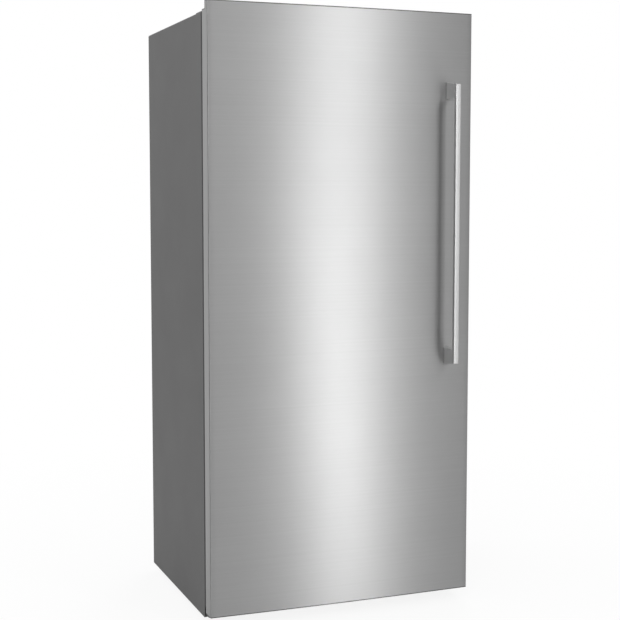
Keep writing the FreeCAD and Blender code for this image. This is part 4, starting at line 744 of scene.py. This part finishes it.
def bow_across(sheet, front, side):
    """Sweeps the upright edge over the door's front, on the arc of its bow."""
    radius = (side * side + DOOR_BOW * DOOR_BOW) / (2 * DOOR_BOW)
    sweep = 2 * math.asin(side / radius)
    pick_points(sheet, lambda p: True)
    spin_about((0.0, front + radius, 0.0), (0, 0, 1), sweep, BOW_STEPS)


def fold_sides(sheet, side, side_y, rear):
    """Folds the sheet back along the door's sides and in behind them, with rounded corners."""
    tall = 1.0

    def upright(a, b):
        return abs(a.z - b.z) > tall

    for end, inward in ((-side, SKIN_RETURN), (side, -SKIN_RETURN)):
        pick_edges(
            sheet, lambda a, b: abs(a.x - end) < TOUCH and abs(b.x - end) < TOUCH and upright(a, b)
        )
        extrude_edges((0, rear - side_y, 0))
        extrude_edges((inward, 0, 0))
    pick_edges(
        sheet,
        lambda a, b: abs(abs(a.x) - side) < TOUCH and abs(a.y - side_y) < TOUCH and upright(a, b),
    )
    bpy.ops.mesh.bevel(offset=CORNER_ROUND, segments=CORNER_STEPS, affect="EDGES")


def turn_out(piece, wrong):
    """Turns an open sheet round where its faces look the wrong way."""
    mesh = piece.data
    if any(wrong(face.center, face.normal) for face in mesh.polygons):
        open_mesh(piece)
        bpy.ops.mesh.select_all(action="SELECT")
        bpy.ops.mesh.flip_normals()
        close_mesh()


def cut_lip(sheet, high):
    """Lowers the skin behind the door's front lip."""
    wide = 2.0
    deep = 0.2
    tall = 0.1
    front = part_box("door_skin")[0].y + DOOR_BOW + LIP_DEPTH
    middle = (0, front + deep / 2, high.z - REAR_DROP + tall / 2)
    bpy.ops.mesh.primitive_cube_add(size=1.0, location=middle)
    cutter = named("lip_cutter")
    cutter.scale = (wide, deep, tall)
    place_in_mesh(cutter)
    modify(sheet, "BOOLEAN", operation="DIFFERENCE", object=cutter, solver="EXACT")
    bpy.data.objects.remove(cutter)


# ---------------------------------------------------------------- door seal


def door_seal():
    """Pleated bellows of the magnetic seal, run round the door with rounded corners."""
    low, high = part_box("door_gasket")
    depth = high.y - low.y
    middle = Vector((0, (low.y + high.y) / 2, low.z + SEAL_WIDTH / 2))
    bpy.ops.mesh.primitive_plane_add(size=1.0, location=middle, rotation=(0, math.pi / 2, 0))
    seal = named("bellows_seal")
    seal.scale = (SEAL_WIDTH, depth, 1.0)
    place_in_mesh(seal)
    open_mesh(seal, "EDGE")
    pick_edges(seal, lambda a, b: abs(a.y - b.y) > depth / 2)
    bpy.ops.mesh.subdivide(number_cuts=SEAL_ROWS - 1)
    for row, width in PLEATS.items():
        y = low.y + depth * row / SEAL_ROWS
        pick_points(seal, lambda p: abs(p.y - y) < 5 * TOUCH)
        bpy.ops.transform.resize(value=(1, 1, width))
    bpy.ops.mesh.select_all(action="SELECT")
    bpy.ops.mesh.delete(type="ONLY_FACE")
    run_round(seal, high.x, low.z, high.z, SEAL_CORNER)
    close_mesh()
    outward(seal)
    smooth(seal, angle=25.0)
    dress(seal, FINISHES["seal_grey"])
    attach(seal, "door")
    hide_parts("door_gasket")


def run_round(piece, side, low, high, corner):
    """Carries an open profile, standing at the middle of the lower side, right round a frame."""
    bpy.ops.mesh.select_all(action="SELECT")
    centers = [
        (side - corner, 0.0, low + corner),
        (side - corner, 0.0, high - corner),
        (-side + corner, 0.0, high - corner),
        (-side + corner, 0.0, low + corner),
    ]
    runs = [
        (side - corner, 0, 0),
        (0, 0, high - low - 2 * corner),
        (-2 * (side - corner), 0, 0),
        (0, 0, -(high - low - 2 * corner)),
    ]
    for center, run in zip(centers, runs):
        extrude_edges(run)
        spin_about(center, (0, 1, 0), -math.pi / 2, SEAL_CORNER_STEPS)
    extrude_edges((side - corner, 0, 0))


# ---------------------------------------------------------------- compressor mounts


def compressor_mounts():
    """Ribbed rubber mounts with their bolts under the compressor's feet."""
    low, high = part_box("compressor_grommets")
    plate_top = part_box("condenser_fan_frame")[0].z
    first = (low.x + MOUNT_RADIUS, low.y + MOUNT_RADIUS)
    mount = rubber_mount(first, plate_top)
    bolt = mount_bolt(first, low.z, high.z)
    across = high.x - low.x - 2 * MOUNT_RADIUS
    along = high.y - low.y - 2 * MOUNT_RADIUS
    places = [(x, y) for x in (0.0, across) for y in (0.0, along)]
    for number, (x, y) in enumerate(places):
        if number:
            finish_mount(own_copy(mount, f"rubber_mount_{number + 1}", (x, y, 0)), "rubber_black")
            finish_mount(own_copy(bolt, f"mount_bolt_{number + 1}", (x, y, 0)), "zinc_screw")
    finish_mount(mount, "rubber_black")
    finish_mount(bolt, "zinc_screw")


def rubber_mount(middle, base):
    """Round mount that grows and shrinks in steps on its way up."""
    bpy.ops.mesh.primitive_cylinder_add(
        vertices=MOUNT_SIDES,
        radius=MOUNT_RADIUS,
        depth=MOUNT_BASE,
        location=(*middle, base + MOUNT_BASE / 2),
    )
    mount = named("rubber_mount_1")
    place_in_mesh(mount)
    open_mesh(mount)
    top = base + MOUNT_BASE
    for rise, growth in MOUNT_RIBS:
        pick_faces(mount, lambda c, n: n.z > 0.9 and abs(c.z - top) < TOUCH)
        extrude_faces((0, 0, rise))
        bpy.ops.transform.resize(value=(growth, growth, 1.0))
        top += rise
    close_mesh()
    soften(mount, MOUNT_ROUND, segments=2, angle=35.0)
    return mount


def finish_mount(piece, slot):
    smooth(piece, angle=40.0)
    dress(piece, FINISHES[slot])
    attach(piece, "cabinet")
    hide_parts("compressor_grommets")


def mount_bolt(middle, low, high):
    """Hexagon head with its washer and shank, over a mount."""
    washer_low = high - WASHER - BOLT_HEAD
    bpy.ops.mesh.primitive_cylinder_add(
        vertices=6,
        radius=BOLT_RADIUS,
        depth=BOLT_HEAD,
        location=(*middle, washer_low + WASHER + BOLT_HEAD / 2),
    )
    bolt = named("mount_bolt_1")
    place_in_mesh(bolt)
    soften(bolt, MOUNT_ROUND, segments=2, angle=30.0)
    open_mesh(bolt)
    bpy.ops.mesh.primitive_cylinder_add(
        vertices=MOUNT_SIDES,
        radius=WASHER_RADIUS,
        depth=WASHER,
        location=(*middle, washer_low + WASHER / 2),
    )
    bpy.ops.mesh.select_all(action="DESELECT")
    bpy.ops.mesh.primitive_cylinder_add(
        vertices=SHANK_SIDES,
        radius=SHANK_RADIUS,
        depth=washer_low - low,
        location=(*middle, (washer_low + low) / 2),
    )
    close_mesh()
    return bolt


# ---------------------------------------------------------------- light, floor and camera

# Strength of the surroundings' own light
WORLD_LIGHT = 0.62

# How white the floor looks near by and in mirrors, and how far off it is all white, in metres
FLOOR_SIZE = 60.0
FLOOR_DROP = 0.0005
FLOOR_WHITE = 0.88
FLOOR_MIRRORED = 0.42
FLOOR_FADE = (0.6, 2.4)

# Where the shadow under the cabinet fades out, as shares of the base frame's half width
SHADOW_FADE = (0.70, 0.85)

# Each lamp's place, target, size in metres and power in watts
LAMPS = {
    "tall_strip": ((1.42, -3.62, 1.90), (0.0, -0.3, 1.90), (0.42, 3.6), 36.0),
    "low_strip": ((0.70, -2.056, 0.13), (0.0, -0.3, 0.13), (0.24, 0.22), 4.0),
    "upper_glow": ((0.71, -4.67, 3.9), (-0.38, -0.3, 1.2), (0.5, 1.6), 10.0),
    "front_soft": ((-2.2, -4.6, 3.4), (0, 0, 0.9), (2.6, 2.6), 118.0),
    "left_soft": ((-4.2, 2.4, 2.8), (0, 0, 1.1), (2.4, 2.4), 60.0),
    "rear_soft": ((2.8, 4.4, 3.2), (0, 0, 0.9), (2.6, 2.6), 110.0),
}

# Each black card's middle, height and length
CARDS = {
    "left_card": ((-3.6, -3.9, 1.9), 3.8, 9.4),
    "rear_card": ((3.6, 2.5, 1.9), 3.8, 3.6),
}

# The camera's place, its angles down and round in radians, and its lens
CAMERA_PLACE = (-1.3901, -3.6268, 1.2135)
CAMERA_DOWN = 0.0823
CAMERA_ROUND = -0.36908
LENS = 74.367
LENS_SHIFT = -0.02


def kinds_of_ray(tree, *kinds):
    """One for a ray of these kinds, else nought."""
    path = add(tree, "LightPath")
    seen = path.outputs[kinds[0]]
    for kind in kinds[1:]:
        seen = combine(tree, "MAXIMUM", seen, path.outputs[kind])
    return seen


def surroundings():
    """White surroundings for what looks at them, softer for the light they give."""
    world = bpy.data.worlds.new("studio")
    bpy.context.scene.world = world
    world.use_nodes = True
    tree = world.node_tree
    seen = kinds_of_ray(tree, "Is Camera Ray", "Is Glossy Ray", "Is Transmission Ray")
    ground = tree.nodes.get("Background") or add(tree, "Background")
    strength = between(tree, seen, 0.0, 1.0, WORLD_LIGHT, 1.0)
    feed(tree, ground, Color=grey(1.0), Strength=strength)


def outside_footprint(tree, place):
    """Nought on the floor well under the cabinet, where its shadow is whole, and one beside it."""
    low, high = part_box("base_frame")
    middle = (low + high) / 2
    half = (high - low) / 2
    centered = combine_vectors(tree, "SUBTRACT", place, (middle.x, middle.y, 0.0))
    scaled = combine_vectors(tree, "DIVIDE", centered, (half.x, half.y, 1.0))
    reach = feed(tree, add(tree, "SeparateXYZ"), Vector=combine_vectors(tree, "ABSOLUTE", scaled))
    furthest = combine(tree, "MAXIMUM", reach.outputs["X"], reach.outputs["Y"])
    return between(tree, furthest, *SHADOW_FADE, 0.0, 1.0)


def floor():
    """Pale floor that looks white, apart from a share of its shading that keeps the shadow."""
    bpy.ops.mesh.primitive_plane_add(size=FLOOR_SIZE, location=(0, 0, -FLOOR_DROP))
    ground = named("studio_floor")
    place_in_mesh(ground)
    material, tree, shader = start_finish("studio_floor")
    feed(tree, shader, Base_Color=grey(0.86), Roughness=0.9, Specular_IOR_Level=0.0)
    white = feed(tree, add(tree, "Emission"), Strength=1.0)
    seen = kinds_of_ray(tree, "Is Camera Ray", "Is Transmission Ray")
    mirrored = combine(tree, "MULTIPLY", kinds_of_ray(tree, "Is Glossy Ray"), FLOOR_MIRRORED)
    place = object_place(tree)
    distance = combine_vectors(tree, "LENGTH", place, None, "Value")
    near = between(tree, distance, *FLOOR_FADE, FLOOR_WHITE, 1.0)
    bare = combine(tree, "MULTIPLY", near, outside_footprint(tree, place))
    share = combine(tree, "MULTIPLY", combine(tree, "MAXIMUM", seen, mirrored), bare)
    blend = add(tree, "MixShader")
    plug(tree, blend.inputs[0], share)
    plug(tree, blend.inputs[1], shader.outputs[0])
    plug(tree, blend.inputs[2], white.outputs[0])
    plug(tree, tree.nodes["Material Output"].inputs["Surface"], blend.outputs[0])
    dress(ground, material)


def lamp(name, place, target, size, power):
    """Oblong lamp that faces its target."""
    light = bpy.data.lights.new(name, "AREA")
    light.shape = "RECTANGLE"
    light.size = size[0]
    light.size_y = size[1]
    light.energy = power
    holder = bpy.data.objects.new(name, light)
    bpy.context.scene.collection.objects.link(holder)
    holder.location = place
    holder.rotation_euler = (Vector(target) - Vector(place)).to_track_quat("-Z", "Y").to_euler()
    holder.visible_camera = False


def lights():
    for name, settings in LAMPS.items():
        lamp(name, *settings)


def dark_card(name, place, height, length):
    """Upright black card, seen only in what shines, where it draws the dark lines along the edges."""
    bpy.ops.mesh.primitive_plane_add(size=1.0, location=place, rotation=(0.0, math.pi / 2, 0.0))
    card = named(name)
    card.scale = (height, length, 1.0)
    place_in_mesh(card)
    material, tree, shader = start_finish(name)
    feed(tree, shader, Base_Color=grey(0.01), Roughness=1.0, Specular_IOR_Level=0.0)
    dress(card, material)
    for kind in ("camera", "diffuse", "transmission", "shadow", "volume_scatter"):
        setattr(card, "visible_" + kind, False)


def dark_cards():
    for name, settings in CARDS.items():
        dark_card(name, *settings)


def camera():
    """Seen from the left of the front, a little above the middle, as in the photograph."""
    view = bpy.data.cameras.new("studio_camera")
    view.sensor_width = 36.0
    view.sensor_fit = "HORIZONTAL"
    view.lens = LENS
    view.shift_y = LENS_SHIFT
    holder = bpy.data.objects.new("studio_camera", view)
    bpy.context.scene.collection.objects.link(holder)
    holder.location = CAMERA_PLACE
    holder.rotation_euler = (math.pi / 2 - CAMERA_DOWN, 0.0, CAMERA_ROUND)
    bpy.context.scene.camera = holder


bpy.context.scene.view_settings.view_transform = "Standard"
surroundings()
floor()
lights()
dark_cards()
camera()
dress_frame()
fair_copies()
door_skin()
door_seal()
compressor_mounts()
